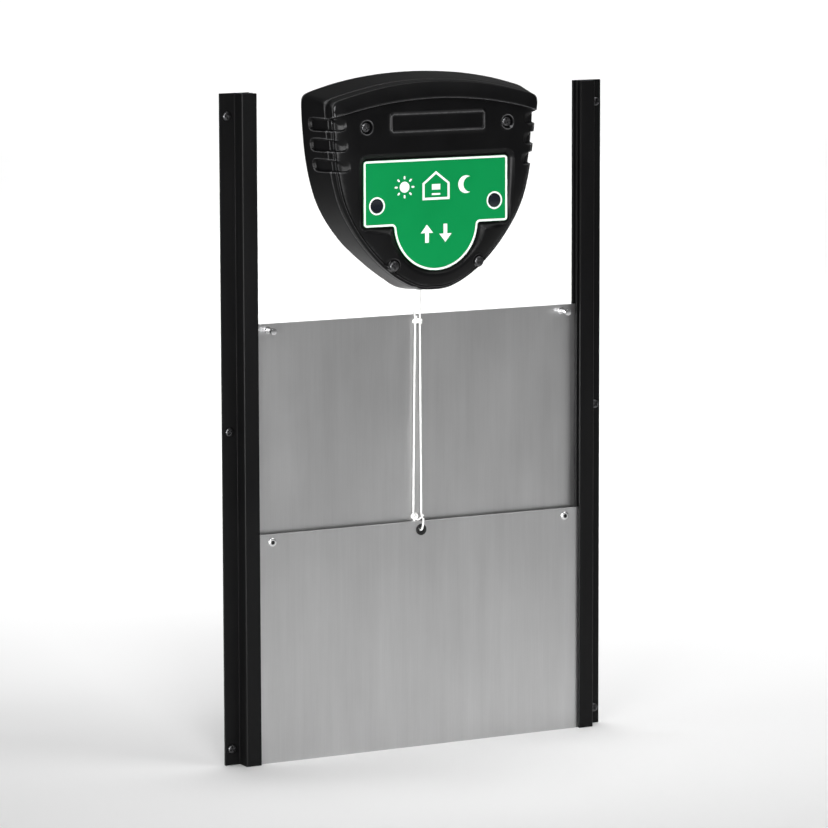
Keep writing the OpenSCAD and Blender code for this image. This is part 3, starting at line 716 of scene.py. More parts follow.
def filled(boundary, lines, rim):
    """Triangles inside a boundary ring, through the points of some lines. Returns plan points and faces.

    Each line is (points, gap): a point is left out if it has a neighbour closer than its line's gap, or lies
    less than rim inside the front outline.
    """
    taken = [tuple(p) for p in boundary]
    cell = max(gap for _, gap in lines)
    cells = {}
    for p in taken:
        cells.setdefault((int(p[0] // cell), int(p[1] // cell)), []).append(p)
    for points, gap in lines:
        for p in points[inset_of(points) > rim]:
            cx, cz = int(p[0] // cell), int(p[1] // cell)
            if all((q[0] - p[0]) ** 2 + (q[1] - p[1]) ** 2 >= gap * gap
                   for i in (-1, 0, 1) for k in (-1, 0, 1) for q in cells.get((cx + i, cz + k), ())):
                taken.append((p[0], p[1]))
                cells.setdefault((cx, cz), []).append((p[0], p[1]))
    count = len(boundary)
    edges = [(k, (k + 1) % count) for k in range(count)]
    _, _, faces, origin, _, _ = delaunay_2d_cdt([Vector(p) for p in taken], edges, [], 1, 1e-5)
    return np.array(taken), [tuple(origin[i][0] for i in f) for f in faces]


def front_mesh(boundary):
    """Triangles of the cover's front: the moulded features, and a plain net between them."""
    xs = np.arange(-84, 84, NET_GAP)
    rows = [np.stack([xs + (k % 2) * NET_GAP / 2, np.full(len(xs), z)], 1)
            for k, z in enumerate(np.arange(0, 154, NET_GAP * 0.87))]
    return filled(boundary, feature_points() + [(np.concatenate(rows), 1.3)], FRONT_INSETS[-1] + 0.3)


SEAM = 0.2
COVER_START = SPLIT_DEPTH + SEAM
CASE_END = SPLIT_DEPTH - SEAM
LID_INSET = 7.0
SHELL_SMOOTH = 50.0
COVER_SIDE = [(LID_INSET, COVER_START), (3.8, COVER_START), (0.7, COVER_START), (0.35, COVER_START + 0.05),
              (0.1, COVER_START + 0.25), (0.0, COVER_START + 0.5), (0.0, 27.6), (0.0, 28.4), (0.0, 29.1),
              (0.0, ROUND_START)]
FRONT_INSETS = (0.03, 0.1, 0.22, 0.4, 0.62, 0.85, 1.15, 1.5, 1.85, 2.1, 2.3, 2.5, 2.7, 2.95, 3.2)
COVER_LID = 30.6
POCKETS_BEYOND = 60
CLEAR_OF_POCKETS = 30.0


def side_rings(sections):
    """Rings of the shell's side at (inset, depth) pairs, with the grip pockets pressed in."""
    rings = []
    for inset, depth in sections:
        p = outline(depth, inset)
        rings.append(pocketed(p, np.full(len(p), depth), np.full(len(p), depth - EDGE_DEPTH)))
    return rings


def shell(name, node, rings, inner, spots, lid, backwards):
    """A closed half of the case: its rings, a face filled inside the last ring, and a lid on the first one.

    inner are the filled face's triangles, which number the last ring's points first and then the spots.
    """
    count = len(rings[0])
    last, first_spot = (len(rings) - 1) * count, len(rings) * count
    first_lid = first_spot + len(spots)
    faces = ring_faces(range(0, first_spot, count), count)
    faces += [tuple(last + i if i < count else first_spot + i - count for i in f) for f in inner]
    faces += [f[::-1] for f in ring_faces([0, first_lid], count)]
    faces.append(tuple(range(first_lid, first_lid + count)))
    if backwards:
        faces = [f[::-1] for f in faces]
    points = placed(np.concatenate(rings + [spots, lid]))
    piece(name, points, faces, "case_plastic", "frame", (node,), SHELL_SMOOTH)


def front_cover():
    """The cover: a rounded rim, then the moulded front inside it."""
    count = len(OUTLINE_U)
    rings = side_rings(COVER_SIDE)
    for inset in FRONT_INSETS:
        p = outline(EDGE_DEPTH, inset)
        share = np.full(count, inset)
        rings.append(pocketed(p, front_depth(p, share), share))
    plan, inner = front_mesh(outline(EDGE_DEPTH, FRONT_INSETS[-1]))
    plan = plan[count:]
    wide = np.abs(plan[:, 0])
    along = np.where(wide > POCKETS_BEYOND, side_of(plan[:, 1]) - wide, CLEAR_OF_POCKETS)
    spots = pocketed(plan, front_depth(plan, inset_of(plan)), along)
    lid = at_depth(outline(EDGE_DEPTH, LID_INSET), COVER_LID)
    shell("cover_shell", "front_cover", rings, inner, spots, lid, False)


# ---------------------------------------------------------------- rear case
CASE_SIDE = [(LID_INSET, CASE_END), (3.8, CASE_END), (0.7, CASE_END), (0.35, CASE_END - 0.05),
             (0.1, CASE_END - 0.25), (0.0, CASE_END - 0.6)]
CASE_SIDE += [(0.0, depth) for depth in np.linspace(SPLIT_DEPTH - 2, 12, 8)]
CASE_SIDE += [(0.0, depth) for depth in np.arange(11.4, 6.5, -0.45)]
CASE_SIDE += [(0.0, 5.0), (0.0, 3.0), (0.0, 1.6), (0.06, 1.1), (0.25, 0.6), (0.6, 0.22), (1.1, 0.04),
              (1.7, 0.0)]
CASE_LID = 4.0
WALL_HOLES = [(68, 112), (-68, 112)]
WALL_HOLE_R = 2.25


def back_depth(p):
    """The back's shallow recessed panel and its two blind wall screw holes."""
    depth = 0.5 * step(inset_of(p) - 6.0, 1.0)
    for x, z in WALL_HOLES:
        r = np.hypot(p[:, 0] - x, p[:, 1] - z)
        depth = depth * (1 - step(6.5 - r, 0.8))
        depth = depth + 2.6 * step(WALL_HOLE_R + 0.2 - r, 0.35)
    return depth


def back_mesh(boundary):
    """Triangles of the case's back: rings round the wall screw holes, the panel's edge, and a wide net."""
    lines = [(circle(x, z, radius, max(1, int(radius * 8))), 0.1) for x, z in WALL_HOLES
             for radius in (0, 1.2, 2.0, 2.15, 2.3, 2.5, 3.4, 5.6, 5.9, 6.2, 6.6, 7.4)]
    lines += [(outline(EDGE_DEPTH, level), 0.3) for level in (5.8, 6.2, 6.5, 6.8, 7.2)]
    net = np.stack(np.meshgrid(np.arange(-90, 90, 6.0), np.arange(2, 156, 6.0)), -1).reshape(-1, 2)
    return filled(boundary, lines + [(net, 2.5)], 2.0)


def rear_case():
    """The deep rear half of the case, open pockets included."""
    plan, inner = back_mesh(outline(CASE_SIDE[-1][1], CASE_SIDE[-1][0]))
    plan = plan[len(OUTLINE_U):]
    spots = np.stack([plan[:, 0], back_depth(plan), plan[:, 1]], 1)
    lid = at_depth(outline(CASE_LID, LID_INSET), CASE_LID)
    shell("case_shell", "rear_case", side_rings(CASE_SIDE), inner, spots, lid, True)


front_cover()
rear_case()


# ---------------------------------------------------------------- label
def arc(x, z, radius, start, end, count):
    """Points on an arc, angles in degrees."""
    a = np.radians(np.linspace(start, end, count))
    return np.stack([x + radius * np.cos(a), z + radius * np.sin(a)], 1)


FILLET = 1.8


def label_outline(inset):
    """The label's closed outline, drawn in by inset: wings with a round lower part."""
    disc_z = LABEL_STEP + 1
    fillet_z = LABEL_STEP - FILLET
    fillet_x = math.sqrt((LABEL_ROUND + FILLET) ** 2 - (fillet_z - disc_z) ** 2)
    meet = math.degrees(math.atan2(fillet_z - disc_z, fillet_x))
    corner = LABEL_CORNER - inset
    right_x = LABEL_HALF - LABEL_CORNER
    half = np.concatenate([
        arc(0, disc_z, LABEL_ROUND - inset, -90, meet, 40),
        arc(fillet_x, fillet_z, FILLET + inset, 180 + meet, 90, 9)[1:],
        arc(right_x, LABEL_STEP + LABEL_CORNER, corner, -90, 0, 8),
        arc(right_x, LABEL_TOP - LABEL_CORNER, corner, 0, 90, 8),
        [[0, LABEL_TOP - inset]]])
    return np.concatenate([half, half[-2:0:-1] * (-1, 1)])


def flat_faces(loops):
    """Triangles that fill the first loop around the other loops, facing the viewer."""
    flat = np.concatenate(loops)
    faces = []
    for face in tessellate_polygon([[Vector((p[0], p[1], 0)) for p in loop] for loop in loops]):
        a, b, c = (flat[i] for i in face)
        turn = (b[0] - a[0]) * (c[1] - a[1]) - (b[1] - a[1]) * (c[0] - a[0])
        faces.append(tuple(face) if turn > 0 else tuple(reversed(face)))
    return faces


def plate(loops, back, front):
    """A flat solid between two depths: the first loop is its outline, the others are holes."""
    count = sum(len(loop) for loop in loops)
    flat = np.concatenate(loops)
    points = np.concatenate([at_depth(flat, back), at_depth(flat, front)])
    front_faces = flat_faces(loops)
    faces = [tuple(i + count for i in f) for f in front_faces] + [tuple(reversed(f)) for f in front_faces]
    start = 0
    for number, loop in enumerate(loops):
        size = len(loop)
        area = np.sum(loop[:, 0] * np.roll(loop[:, 1], -1) - np.roll(loop[:, 0], -1) * loop[:, 1])
        outward = (area > 0) == (number == 0)
        for k in range(size):
            a, b = start + k, start + (k + 1) % size
            quad = (a, b, b + count, a + count)
            faces.append(quad if outward else tuple(reversed(quad)))
        start += size
    return points, faces


LABEL_FACE = 33.8
PRINT_RISE = 0.07
HOLE_SIDES = 48


def label_panel():
    """The green label with a softened edge and two round openings."""
    edge = [(0.0, LABEL_DEPTH), (0.0, LABEL_FACE - 0.12), (0.05, LABEL_FACE - 0.04), (0.14, LABEL_FACE),
            (0.3, LABEL_FACE)]
    rings = [label_outline(inset) for inset, _ in edge]
    count = len(rings[0])
    points = [at_depth(ring, depth) for ring, (_, depth) in zip(rings, edge)]
    faces = ring_faces([k * count for k in range(len(edge))], count)
    holes = [circle(x, WINDOW_Z, WINDOW_R, HOLE_SIDES) for x in (-WINDOW_X, WINDOW_X)]
    hole_count = sum(len(h) for h in holes)
    last = (len(edge) - 1) * count
    front_holes = len(edge) * count
    back_holes = front_holes + hole_count
    for depth in (LABEL_FACE, LABEL_DEPTH):
        points.append(at_depth(np.concatenate(holes), depth))
    front = flat_faces([rings[-1]] + holes)
    faces += [tuple(last + i if i < count else front_holes + i - count for i in f) for f in front]
    back = flat_faces([rings[0]] + holes)
    faces += [tuple(reversed([i if i < count else back_holes + i - count for i in f])) for f in back]
    for hole in range(len(holes)):
        for k in range(HOLE_SIDES):
            a, b = hole * HOLE_SIDES + k, hole * HOLE_SIDES + (k + 1) % HOLE_SIDES
            faces.append((front_holes + a, front_holes + b, back_holes + b, back_holes + a))
    piece("label_panel", placed(np.concatenate(points)), faces, "label_green", "frame", ("label_plate",))


def printed(name, shapes):
    """White print: thin flat forms on the face of the label."""
    parts = [plate(loops, LABEL_FACE - 0.03, LABEL_FACE + PRINT_RISE) for loops in shapes]
    points, faces = joined(parts)
    piece(name, placed(points), faces, "label_white", "frame")


def bar(x, z, length, width, angle, start):
    """A round-ended bar that starts at a distance from (x, z) and points along an angle."""
    half = width / 2
    ends = np.concatenate([arc(start + length - half, 0, half, -90, 90, 9),
                           arc(start + half, 0, half, 90, 270, 9)])
    c, s = math.cos(math.radians(angle)), math.sin(math.radians(angle))
    return np.stack([x + ends[:, 0] * c - ends[:, 1] * s, z + ends[:, 0] * s + ends[:, 1] * c], 1)


def sun(x, z, radius):
    """A disc with eight rays."""
    rays = [[bar(x, z, radius * 0.62, radius * 0.34, angle, radius * 1.42)] for angle in range(0, 360, 45)]
    return [[circle(x, z, radius, 48)]] + rays


def moon(x, z, radius):
    """A crescent between two arcs that meet at its tips."""
    shift, inner = radius * 0.52, radius * 0.86
    reach = (radius ** 2 - inner ** 2 + shift ** 2) / (2 * shift)
    tip = math.degrees(math.acos(reach / radius))
    inner_tip = math.degrees(math.atan2(radius * math.sin(math.radians(tip)), reach - shift))
    outer_arc = arc(x, z, radius, tip, 360 - tip, 40)
    inner_arc = arc(x + shift, z, inner, 360 - inner_tip, inner_tip, 30)[1:-1]
    return [[np.concatenate([outer_arc, inner_arc])]]


def house(x, z, half, wall, peak, line):
    """A little house in outline with a raised shutter in its doorway."""
    outer = [(-half, 0), (half, 0), (half, wall), (0, peak), (-half, wall)]
    inner = [(-half + line, line), (half - line, line), (half - line, wall - line * 0.35),
             (0, peak - line * 1.25), (-half + line, wall - line * 0.35)]
    shutter = [(-3.4, 7.2), (3.4, 7.2), (3.4, 11.2), (-3.4, 11.2)]
    doorstep = [(-3.4, 3.4), (3.4, 3.4), (3.4, 4.7), (-3.4, 4.7)]
    return [[np.array(loop, float) + (x, z) for loop in loops]
            for loops in ([outer, inner], [shutter], [doorstep])]


def arrow(x, z, way):
    """An arrow that points up (way 1) or down (way -1)."""
    up = np.array([(-1.5, -6.5), (1.5, -6.5), (1.5, 0.5), (4.9, 0.5), (0, 6.5), (-4.9, 0.5), (-1.5, 0.5)])
    form = up * (1, way)
    return [[(form if way > 0 else form[::-1]) + (x, z)]]


def label_print():
    """The white border, a ring round each window, and the pictograms."""
    printed("label_border", [[label_outline(0.2), label_outline(1.65)]])
    printed("label_rings", [[circle(x, WINDOW_Z, 6.35, 64), circle(x, WINDOW_Z, WINDOW_R + 0.1, 64)]
                            for x in (-WINDOW_X, WINDOW_X)])
    icons = sun(-25.5, 77.0, 3.9) + house(0, 67.0, 11.0, 12.0, 20.5, 1.7) + moon(24.5, 77.0, 6.4)
    printed("label_icons", icons + arrow(-7.5, 43.0, 1) + arrow(7.5, 43.0, -1))


label_panel()
label_print()


# ---------------------------------------------------------------- small turned pieces
def fitting(name, forms, slot, body, nodes=()):
    """Joins forms that already face the viewer into one piece that replaces CAD nodes."""
    points, faces = joined(forms)
    piece(name, points, faces, slot, body, nodes)


def turned(name, profile, sides, places, slot, body, nodes=(), ring=False):
    """The same turned form at each of some places."""
    form, faces = lathe(profile, sides, ring)
    fitting(name, [(faced(form, at), faces) for at in places], slot, body, nodes)


def on_case(x, z):
    """A place on the opener for faced(), with depth 0 on the wall plane."""
    return (x, 0.0, z + CASE_Z)


HEAD_SIDES = 96
HEAD_ANGLES = np.arange(HEAD_SIDES) * 2 * math.pi / HEAD_SIDES


def cross_head(radius, seat, rise, arm, half, deep, shank_r, shank_end):
    """A pan head screw whose head stands rise off its seat, with a cross recess, deep in the middle.

    The cross's arms are arm long and twice half wide. Heights are depths in front of the wall plane.
    """
    radii = [0.14, half * 0.8, half, half + 0.12, *np.arange(half + 0.3, radius - 0.5, 0.14), radius - 0.42,
             radius - 0.28, radius - 0.16, radius - 0.07, radius - 0.02, radius]
    points = [(0.0, 0.0, seat + rise - deep)]
    for r in radii:
        x, y = r * np.cos(HEAD_ANGLES), r * np.sin(HEAD_ANGLES)
        crown = seat + rise * (0.52 + 0.48 * np.sqrt(np.maximum(1 - (r / radius) ** 2.6, 0)))
        along_x = np.maximum(np.abs(x) - arm, np.abs(y) - half)
        along_y = np.maximum(np.abs(y) - arm, np.abs(x) - half)
        floor = seat + rise - deep + 0.3 * deep * np.clip(np.hypot(x, y) / arm, 0, 1)
        share = step(0.05 - np.minimum(along_x, along_y), 0.16)
        z = crown * (1 - share) + np.minimum(floor, crown) * share
        points += list(zip(x, y, z))
    for r, z in ((radius, seat + 0.12), (radius - 0.12, seat), (shank_r, seat), (shank_r, shank_end)):
        points += list(zip(r * np.cos(HEAD_ANGLES), r * np.sin(HEAD_ANGLES), np.full(HEAD_SIDES, z)))
    points.append((0.0, 0.0, shank_end - 0.02))
    last = len(points) - 1 - HEAD_SIDES
    following = [(k, (k + 1) % HEAD_SIDES) for k in range(HEAD_SIDES)]
    faces = [(0, 1 + k, 1 + n) for k, n in following]
    for a in range(1, last, HEAD_SIDES):
        b = a + HEAD_SIDES
        faces += [(a + k, b + k, b + n, a + n) for k, n in following]
    faces += [(len(points) - 1, last + n, last + k) for k, n in following]
    return np.array(points), faces


def screw_thread(radius, core, start, end, pitch, point_end):
    """The threaded shank and point of a wood screw, from depth start back to point_end."""
    turns = int((start - end) / pitch)
    profile = [(0, start), (core, start)]
    for k in range(turns):
        at = start - 0.3 - k * pitch
        profile += [(core, at), (radius, at - 0.16), (radius, at - 0.26), (core, at - 0.5)]
    profile += [(core, end), (0, point_end)]
    return lathe(profile[::-1], 32)


RAIL_SCREW_R = 3.1
FLANGE = 2.2
MIDDLE_SCREW_Z = 2.5
SHANK = 4.5


def rail_screws():
    """Six pan head wood screws, three through each rail's flange."""
    low, high = node_box("rail_screws")
    zs = (low[2] + RAIL_SCREW_R, MIDDLE_SCREW_Z, high[2] - RAIL_SCREW_R)
    point = -high[1]
    for side, x in (("left", low[0] + RAIL_SCREW_R), ("right", high[0] - RAIL_SCREW_R)):
        forms = []
        for k, z in enumerate(zs):
            head, faces = cross_head(RAIL_SCREW_R, FLANGE, 2.2, 2.1, 0.55, 1.7, 1.9, 0.1)
            forms.append((faced(head, (x, 0, z), 17 + 31 * k), faces))
            shank, faces = screw_thread(1.75, 1.3, 0.2, -SHANK, 1.1, point)
            forms.append((faced(shank, (x, 0, z)), faces))
        fitting("rail_screws_" + side, forms, "screw_black", "frame", ("rail_screws",))


def cover_screws():
    """Four pan head screws in the cover's round seats."""
    forms = []
    for k, (x, z) in enumerate(COVER_SCREWS):
        head, faces = cross_head(3.5, SEAT_DEPTH, 2.1, 2.3, 0.6, 1.7, 1.5, 27.0)
        forms.append((faced(head, on_case(x, z), 24 + 50 * k), faces))
    fitting("cover_screws_cross", forms, "screw_black", "frame", ("cover_screws",))


def windows():
    """The sensor's domed window on the right and the dished button on the left."""
    dome = [(0, 31.6), (5.0, 31.6), (5.0, 33.66), (4.93, 33.82), (4.7, 33.93), (4.2, 34.03), (3.2, 34.16),
            (2.0, 34.26), (1.0, 34.31), (0, 34.33)]
    turned("sensor_window", dome, 64, [on_case(WINDOW_X, WINDOW_Z)], "window_dark", "frame", ("sensor_lens",))
    cap = [(0, 31.7), (4.85, 31.7), (4.85, 33.72), (4.76, 33.92), (4.5, 34.03), (4.1, 34.03), (3.8, 33.93),
           (2.6, 33.8), (1.2, 33.72), (0, 33.7)]
    turned("button_face", cap, 64, [on_case(-WINDOW_X, WINDOW_Z)], "window_dark", "button", ("button_cap",))


RIVET_R = 3.2
RIVET_BORE = 1.3
PIN_COLLAR_R = 2.6
UPPER_BACK, UPPER_FRONT = 3.2, 4.7
LOWER_BACK, LOWER_FRONT = 8.85, 10.35


def stop_pins():
    """Two turned pins through the upper leaf, which the lower leaf's edge meets."""
    low, high = node_box("stop_pins")
    back, front = UPPER_BACK, UPPER_FRONT
    pin = [(0, back - 1.2), (2.3, back - 1.2), (2.5, back - 1.0), (2.5, back), (1.6, back), (1.6, front),
           (PIN_COLLAR_R, front), (PIN_COLLAR_R, front + 0.75), (2.35, front + 1.0), (1.6, front + 1.1),
           (1.6, 12.8), (1.75, 13.0), (2.3, 13.1), (2.45, 13.3), (2.45, 14.9), (2.3, 15.2), (1.9, 15.35),
           (0, 15.4)]
    x, z = high[0] - PIN_COLLAR_R, (low[2] + high[2]) / 2
    turned("stop_pins_turned", pin, 40, [(-x, 0, z), (x, 0, z)], "pin_steel", "upper_leaf", ("stop_pins",))


def leaf_rivets():
    """Tubular rivets, each with a dark plug in its shallow bore as painted shade, so that it reads as a deep
    hole.
    """
    high = node_box("leaf_rivets")[1]
    back, front = LOWER_BACK, LOWER_FRONT
    rivet = [(0, back - 1.8), (1.9, back - 1.8), (2.25, back - 1.5), (2.3, back), (1.6, back), (1.6, front),
             (RIVET_R, front), (RIVET_R, front + 0.16), (3.0, front + 0.5), (2.6, front + 0.85),
             (2.1, front + 1.05), (1.7, front + 1.1), (1.42, front + 1.0), (RIVET_BORE, front + 0.7),
             (RIVET_BORE, front - 0.5), (0, front - 0.6)]
    # A black plug inside each bore: painted shade, because the bore is too shallow to go dark by itself
    painted_bore_shade = [(0, front - 0.4), (RIVET_BORE, front - 0.4), (RIVET_BORE, front + 0.75),
            (RIVET_BORE - 0.12, front + 0.8), (RIVET_BORE - 0.3, front + 0.3), (0.3, front), (0, front)]
    x, z = high[0] - RIVET_R, high[2] - RIVET_R
    places = [(-x, 0, z), (x, 0, z)]
    turned("leaf_rivets_tubular", rivet, 48, places, "rivet_aluminium", "lower_leaf", ("leaf_rivets",))
    turned("rivet_bore_painted_shade", painted_bore_shade, 40, places, "grommet_rubber", "lower_leaf")


def grommet():
    """The rubber ring in the lower leaf's cord hole."""
    low, high = node_box("cord_grommet")
    back, front = LOWER_BACK, LOWER_FRONT
    ring = [(2.1, 8.1), (2.45, 7.72), (3.2, 7.65), (3.85, 7.9), (4.1, 8.4), (4.1, back), (3.2, back),
            (3.2, front), (4.1, front), (4.1, 10.85), (3.85, 11.3), (3.2, 11.53), (2.45, 11.45), (2.1, 11.05)]
    turned("grommet_ring", ring, 64, [(0, 0, (low[2] + high[2]) / 2)], "grommet_rubber", "lower_leaf",
           ("cord_grommet",), True)


rail_screws()
cover_screws()
windows()
stop_pins()
leaf_rivets()
grommet()


# ---------------------------------------------------------------- cord
SILL = node_box("lower_leaf")[0][2]
CORD_R = 0.75
CORD_SIDES = 16
CORD_PATH = [
    (1.3, -6.9, 315), (1.4, -6.9, 290), (1.6, -6.9, 255), (1.8, -6.9, 220), (2, -6.9, 185), (2.1, -6.9, 171),
    (2.1, -7.9, 168.4), (1.8, -9.6, 167.6), (1.2, -11.6, 167), (0.4, -12.9, 165), (0.0, -12.9, 162.5),
    (-0.2, -11.6, 159.9), (-0.4, -9.6, 159.5), (-0.8, -7, 159.9), (-1.6, -5.9, 161), (-2.8, -5.7, 163.4),
    (-4, -6.2, 168), (-4.4, -6.9, 176), (-4, -6.9, 210), (-3.5, -6.9, 250), (-2.9, -6.9, 290),
    (-2.6, -6.9, 309)]
PULL_END = 5
RETURN_START = 16
LOOP_TOP = 315
TIE_X, TIE_Z = -0.6, 313.6
STRAND_GAP = 0.34
KNOT_SLIM = 0.94
CORD_SMOOTH = 60.0


def smooth_path(points, gap):
    """Points about gap apart along a smooth curve through the given points."""
    stations = np.array(points, float)
    ends = np.concatenate([[2 * stations[0] - stations[1]], stations, [2 * stations[-1] - stations[-2]]])
    rows = []
    for k in range(len(stations) - 1):
        rows.append(spline(*ends[k:k + 4], np.linspace(0, 1, 60, endpoint=False)[:, None]))
    fine = np.concatenate(rows + [stations[-1:]])
    run = np.concatenate([[0], np.cumsum(np.linalg.norm(np.diff(fine, axis=0), axis=1))])
    even = np.linspace(0, run[-1], max(4, int(run[-1] / gap)))
    return np.stack([np.interp(even, run, fine[:, k]) for k in range(3)], 1)


def plaited(path, radius, closed=False):
    """A tube along a path whose wall rises and falls in crossing bands, like a braid."""
    count = len(path)
    ahead = np.roll(path, -1, 0) - np.roll(path, 1, 0)
    if not closed:
        ahead[0], ahead[-1] = path[1] - path[0], path[-1] - path[-2]
    ahead /= np.linalg.norm(ahead, axis=1)[:, None]
    side = np.cross(ahead[0], (0.3, 1.0, 0.2))
    run = 0.0
    points = []
    for k in range(count):
        side = side - ahead[k] * np.dot(side, ahead[k])
        side /= np.linalg.norm(side)
        up = np.cross(ahead[k], side)
        if k:
            run += np.linalg.norm(path[k] - path[k - 1])
        a = np.arange(CORD_SIDES) * 2 * math.pi / CORD_SIDES
        turn = run / (radius * 2.4)
        band = np.maximum(np.cos(4 * a + turn * math.pi), np.cos(4 * a - turn * math.pi))
        reach = radius * (0.93 + 0.07 * band)
        points.append(path[k] + reach[:, None] * (np.cos(a)[:, None] * side + np.sin(a)[:, None] * up))
    points = np.concatenate(points)
    rings = [k * CORD_SIDES for k in range(count)] + ([0] if closed else [])
    faces = ring_faces(rings, CORD_SIDES)
    if not closed:
        start, end = len(points), len(points) + 1
        points = np.concatenate([points, path[:1], path[-1:]])
        faces += [(start, (k + 1) % CORD_SIDES, k) for k in range(CORD_SIDES)]
        last = (count - 1) * CORD_SIDES
        faces += [(end, last + k, last + (k + 1) % CORD_SIDES) for k in range(CORD_SIDES)]
    return points, faces


def at_sill(points):
    """Points given above the sill, in the part's frame."""
    return np.asarray(points, float) + (0, 0, SILL)


def strand(name, points, body, nodes=()):
    """A braided strand along a smooth curve through points given above the sill."""
    form, faces = plaited(smooth_path(at_sill(points), STRAND_GAP), CORD_R)
    return piece(name, form, faces, "cord_white", body, nodes, CORD_SMOOTH)


def shortened(strand_piece):
    """Gives a strand its own copy of its mesh."""
    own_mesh(strand_piece)


def tied(name, forms, body, nodes=()):
    """Several lengths of cord as one knot."""
    points, faces = joined(forms)
    piece(name, points, faces, "cord_white", body, nodes, CORD_SMOOTH)


def tail(points, gap=STRAND_GAP):
    """A short end of cord, a little slimmer than a strand so that it nests in its knot."""
    return plaited(smooth_path(at_sill(points), gap), CORD_R * KNOT_SLIM)


def overhand(at, wide, tall, deep):
    """A knotted loop: the trefoil curve, scaled to half sizes wide, tall and deep."""
    t = np.linspace(0, 2 * math.pi, 91)[:-1]
    x = (np.sin(t) + 2 * np.sin(2 * t)) / 3
    z = (np.cos(t) - 2 * np.cos(2 * t)) / 3
    y = -np.sin(3 * t)
    path = np.stack([at[0] + wide * x, at[1] + deep * y, at[2] + tall * z], 1)
    return plaited(at_sill(path), CORD_R * KNOT_SLIM, True)


def wrap(at, radius, turns, pitch):
    """Close turns of cord around a strand that stands along Z."""
    t = np.linspace(0, turns * 2 * math.pi, int(turns * 26))
    path = np.stack([at[0] + radius * np.cos(t), at[1] + radius * np.sin(t),
                     at[2] + pitch * t / (2 * math.pi)], 1)
    return plaited(at_sill(path), CORD_R * 0.9)


def cords():
    """The pulling strand, the loop's two strands, its turn through the grommet, and the knots."""
    lift_top = node_box("lift_cord")[1][2] - SILL
    lift = strand("lift_strand", [(1.3, -6.9, LOOP_TOP), (1.3, -6.9, 325), (1.3, -6.9, lift_top)], "frame",
                  ("lift_cord",))
    shortened(lift)
    pull = strand("pull_strand", CORD_PATH[:PULL_END + 1], "upper_leaf")
    shortened(pull)
    back = strand("return_strand", CORD_PATH[RETURN_START:], "upper_leaf")
    shortened(back)
    strand("cord_bight", CORD_PATH[PULL_END:RETURN_START + 1], "lower_leaf", ("loop_cord",))
    across = [(-3.4, -8.0, 167.4), (-1.8, -9.2, 166.9), (0.2, -9.7, 168.2), (1.7, -9.7, 169.4),
              (2.9, -8.6, 169.6)]
    tied("lower_knot", [overhand((-3.9, -7.6, 168.9), 2.3, 3.0, 1.0), tail(across)], "lower_leaf")
    over_edge = [(-2.3, -6.6, 311.5), (-2.4, -6.3, 314.2), (-2.3, -5.6, 316.4), (-1.9, -4.0, 317.4),
                 (-1.4, -2.4, 316.3), (TIE_X, -1.9, TIE_Z)]
    between = [(-1.6, -7.2, 312.6), (-0.2, -7.7, 312.9), (1.2, -8.1, 312.5)]
    tied("upper_knots", [overhand((-2.2, -6.7, 310.9), 1.75, 2.5, 0.95),
                         wrap((1.35, -6.9, 309.6), 1.3, 2.2, 1.35), tail(over_edge), tail(between, 0.3)],
         "upper_leaf", ("cord_knots",))


cords()


# ---------------------------------------------------------------- rails and leaves
for node, slot, body, width in (("rail_left", "rail_black", "frame", 0.35),
                                ("rail_right", "rail_black", "frame", 0.35),
                                ("upper_leaf", "sheet_aluminium", "upper_leaf", 0.22),
                                ("lower_leaf", "sheet_aluminium", "lower_leaf", 0.45)):
    edged(node, slot, body, width)

# ---------------------------------------------------------------- carried-over nodes
SLOTS = {s["node"]: s["material_slot"] for s in frame["record"]["subparts"]}
for node, obj in frame["nodes"].items():
    obj.data.materials.clear()
    obj.data.materials.append(MATERIALS[SLOTS[node]])


# ---------------------------------------------------------------- floor and light
FLOOR_REACH = 30.0


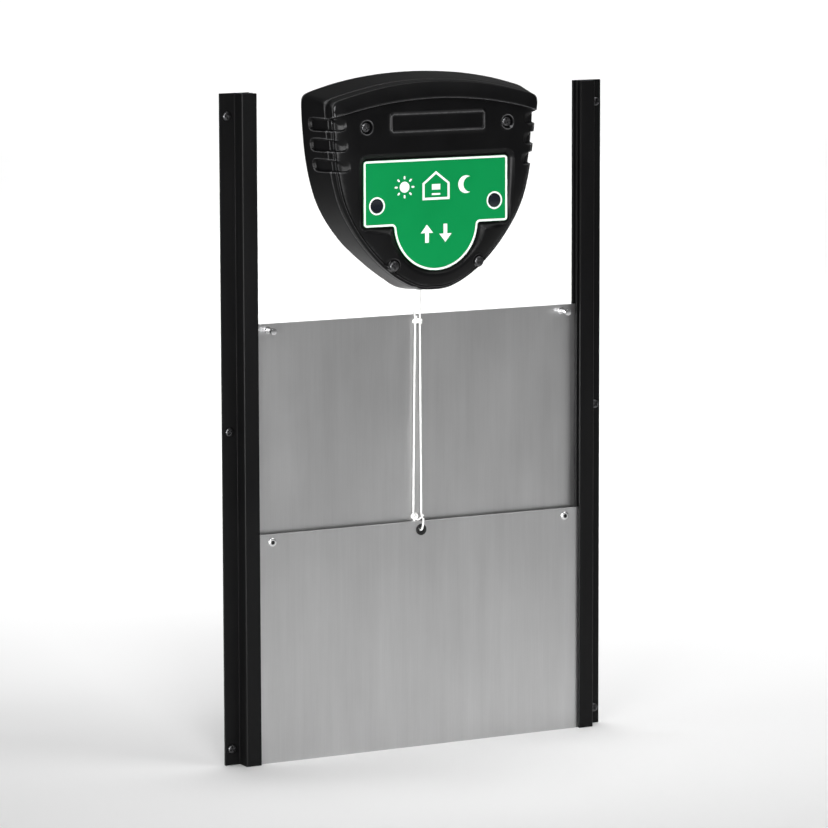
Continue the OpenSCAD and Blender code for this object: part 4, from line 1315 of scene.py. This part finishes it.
def make_stage():
    """A wide pale floor at the rails' feet."""
    data = bpy.data.meshes.new("floor")
    corners = ((-1, -1), (1, -1), (1, 1), (-1, 1))
    points = [(FLOOR_REACH * x, FLOOR_REACH * y, CAD_BOX[0].z) for x, y in corners]
    data.from_pydata(points, [], [(0, 1, 2, 3)])
    floor = bpy.data.objects.new("floor", data)
    scene.collection.objects.link(floor)
    s = Shader("floor_pale", Roughness=0.85, Specular_IOR_Level=0.1)
    s.into("Base Color", s.colours(s.noise(900.0), [(0.3, (0.90, 0.90, 0.90)), (0.7, (0.92, 0.92, 0.92))]))
    data.materials.append(s.material)


def area_light(name, place, aim, size, power, shape, spread, yaw=0.0):
    """A rectangle of light, shape times as tall as it is wide, whose beam opens to spread degrees."""
    data = bpy.data.lights.new(name, "AREA")
    data.spread = math.radians(spread)
    data.shape = "RECTANGLE"
    data.size = size
    data.size_y = size * shape
    data.energy = power
    light = bpy.data.objects.new(name, data)
    scene.collection.objects.link(light)
    light.location = place
    light.rotation_mode = "QUATERNION"
    turn = Quaternion((0, 0, 1), math.radians(-yaw))
    light.rotation_quaternion = turn @ (Vector(aim) - Vector(place)).to_track_quat("-Z", "Y")


WORLD_LIGHT = 0.16
make_stage()
world = bpy.data.worlds.new("studio")
world.use_nodes = True
world.node_tree.nodes["Background"].inputs["Color"].default_value = (1, 1, 1, 1)
world.node_tree.nodes["Background"].inputs["Strength"].default_value = WORLD_LIGHT
scene.world = world
scene.view_settings.view_transform = "Standard"
area_light("key_box", (-1.0, -2.6, 1.5), (0.0, 0.1, 0.12), 0.8, 1.7, 1.0, 32.0)
area_light("overhead", (0.95, -0.95, 1.8), (0.65, -1.1, -0.2), 0.5, 8.5, 2.0, 110.0)
area_light("left_strip", (-1.3, -1.15, -0.01), (0.0, 0.0, 0.0), 0.7, 3.6, 0.5, 60.0)
area_light("near_backdrop", (1.3, 2.4, 3.5), (1.3, 2.4, 0.0), 1.6, 38.0, 3.0, 45.0, CAMERA_YAW)
area_light("far_backdrop", (4.7, 8.65, 4.5), (4.7, 8.65, 0.0), 5.4, 175.0, 1.75, 45.0, CAMERA_YAW)
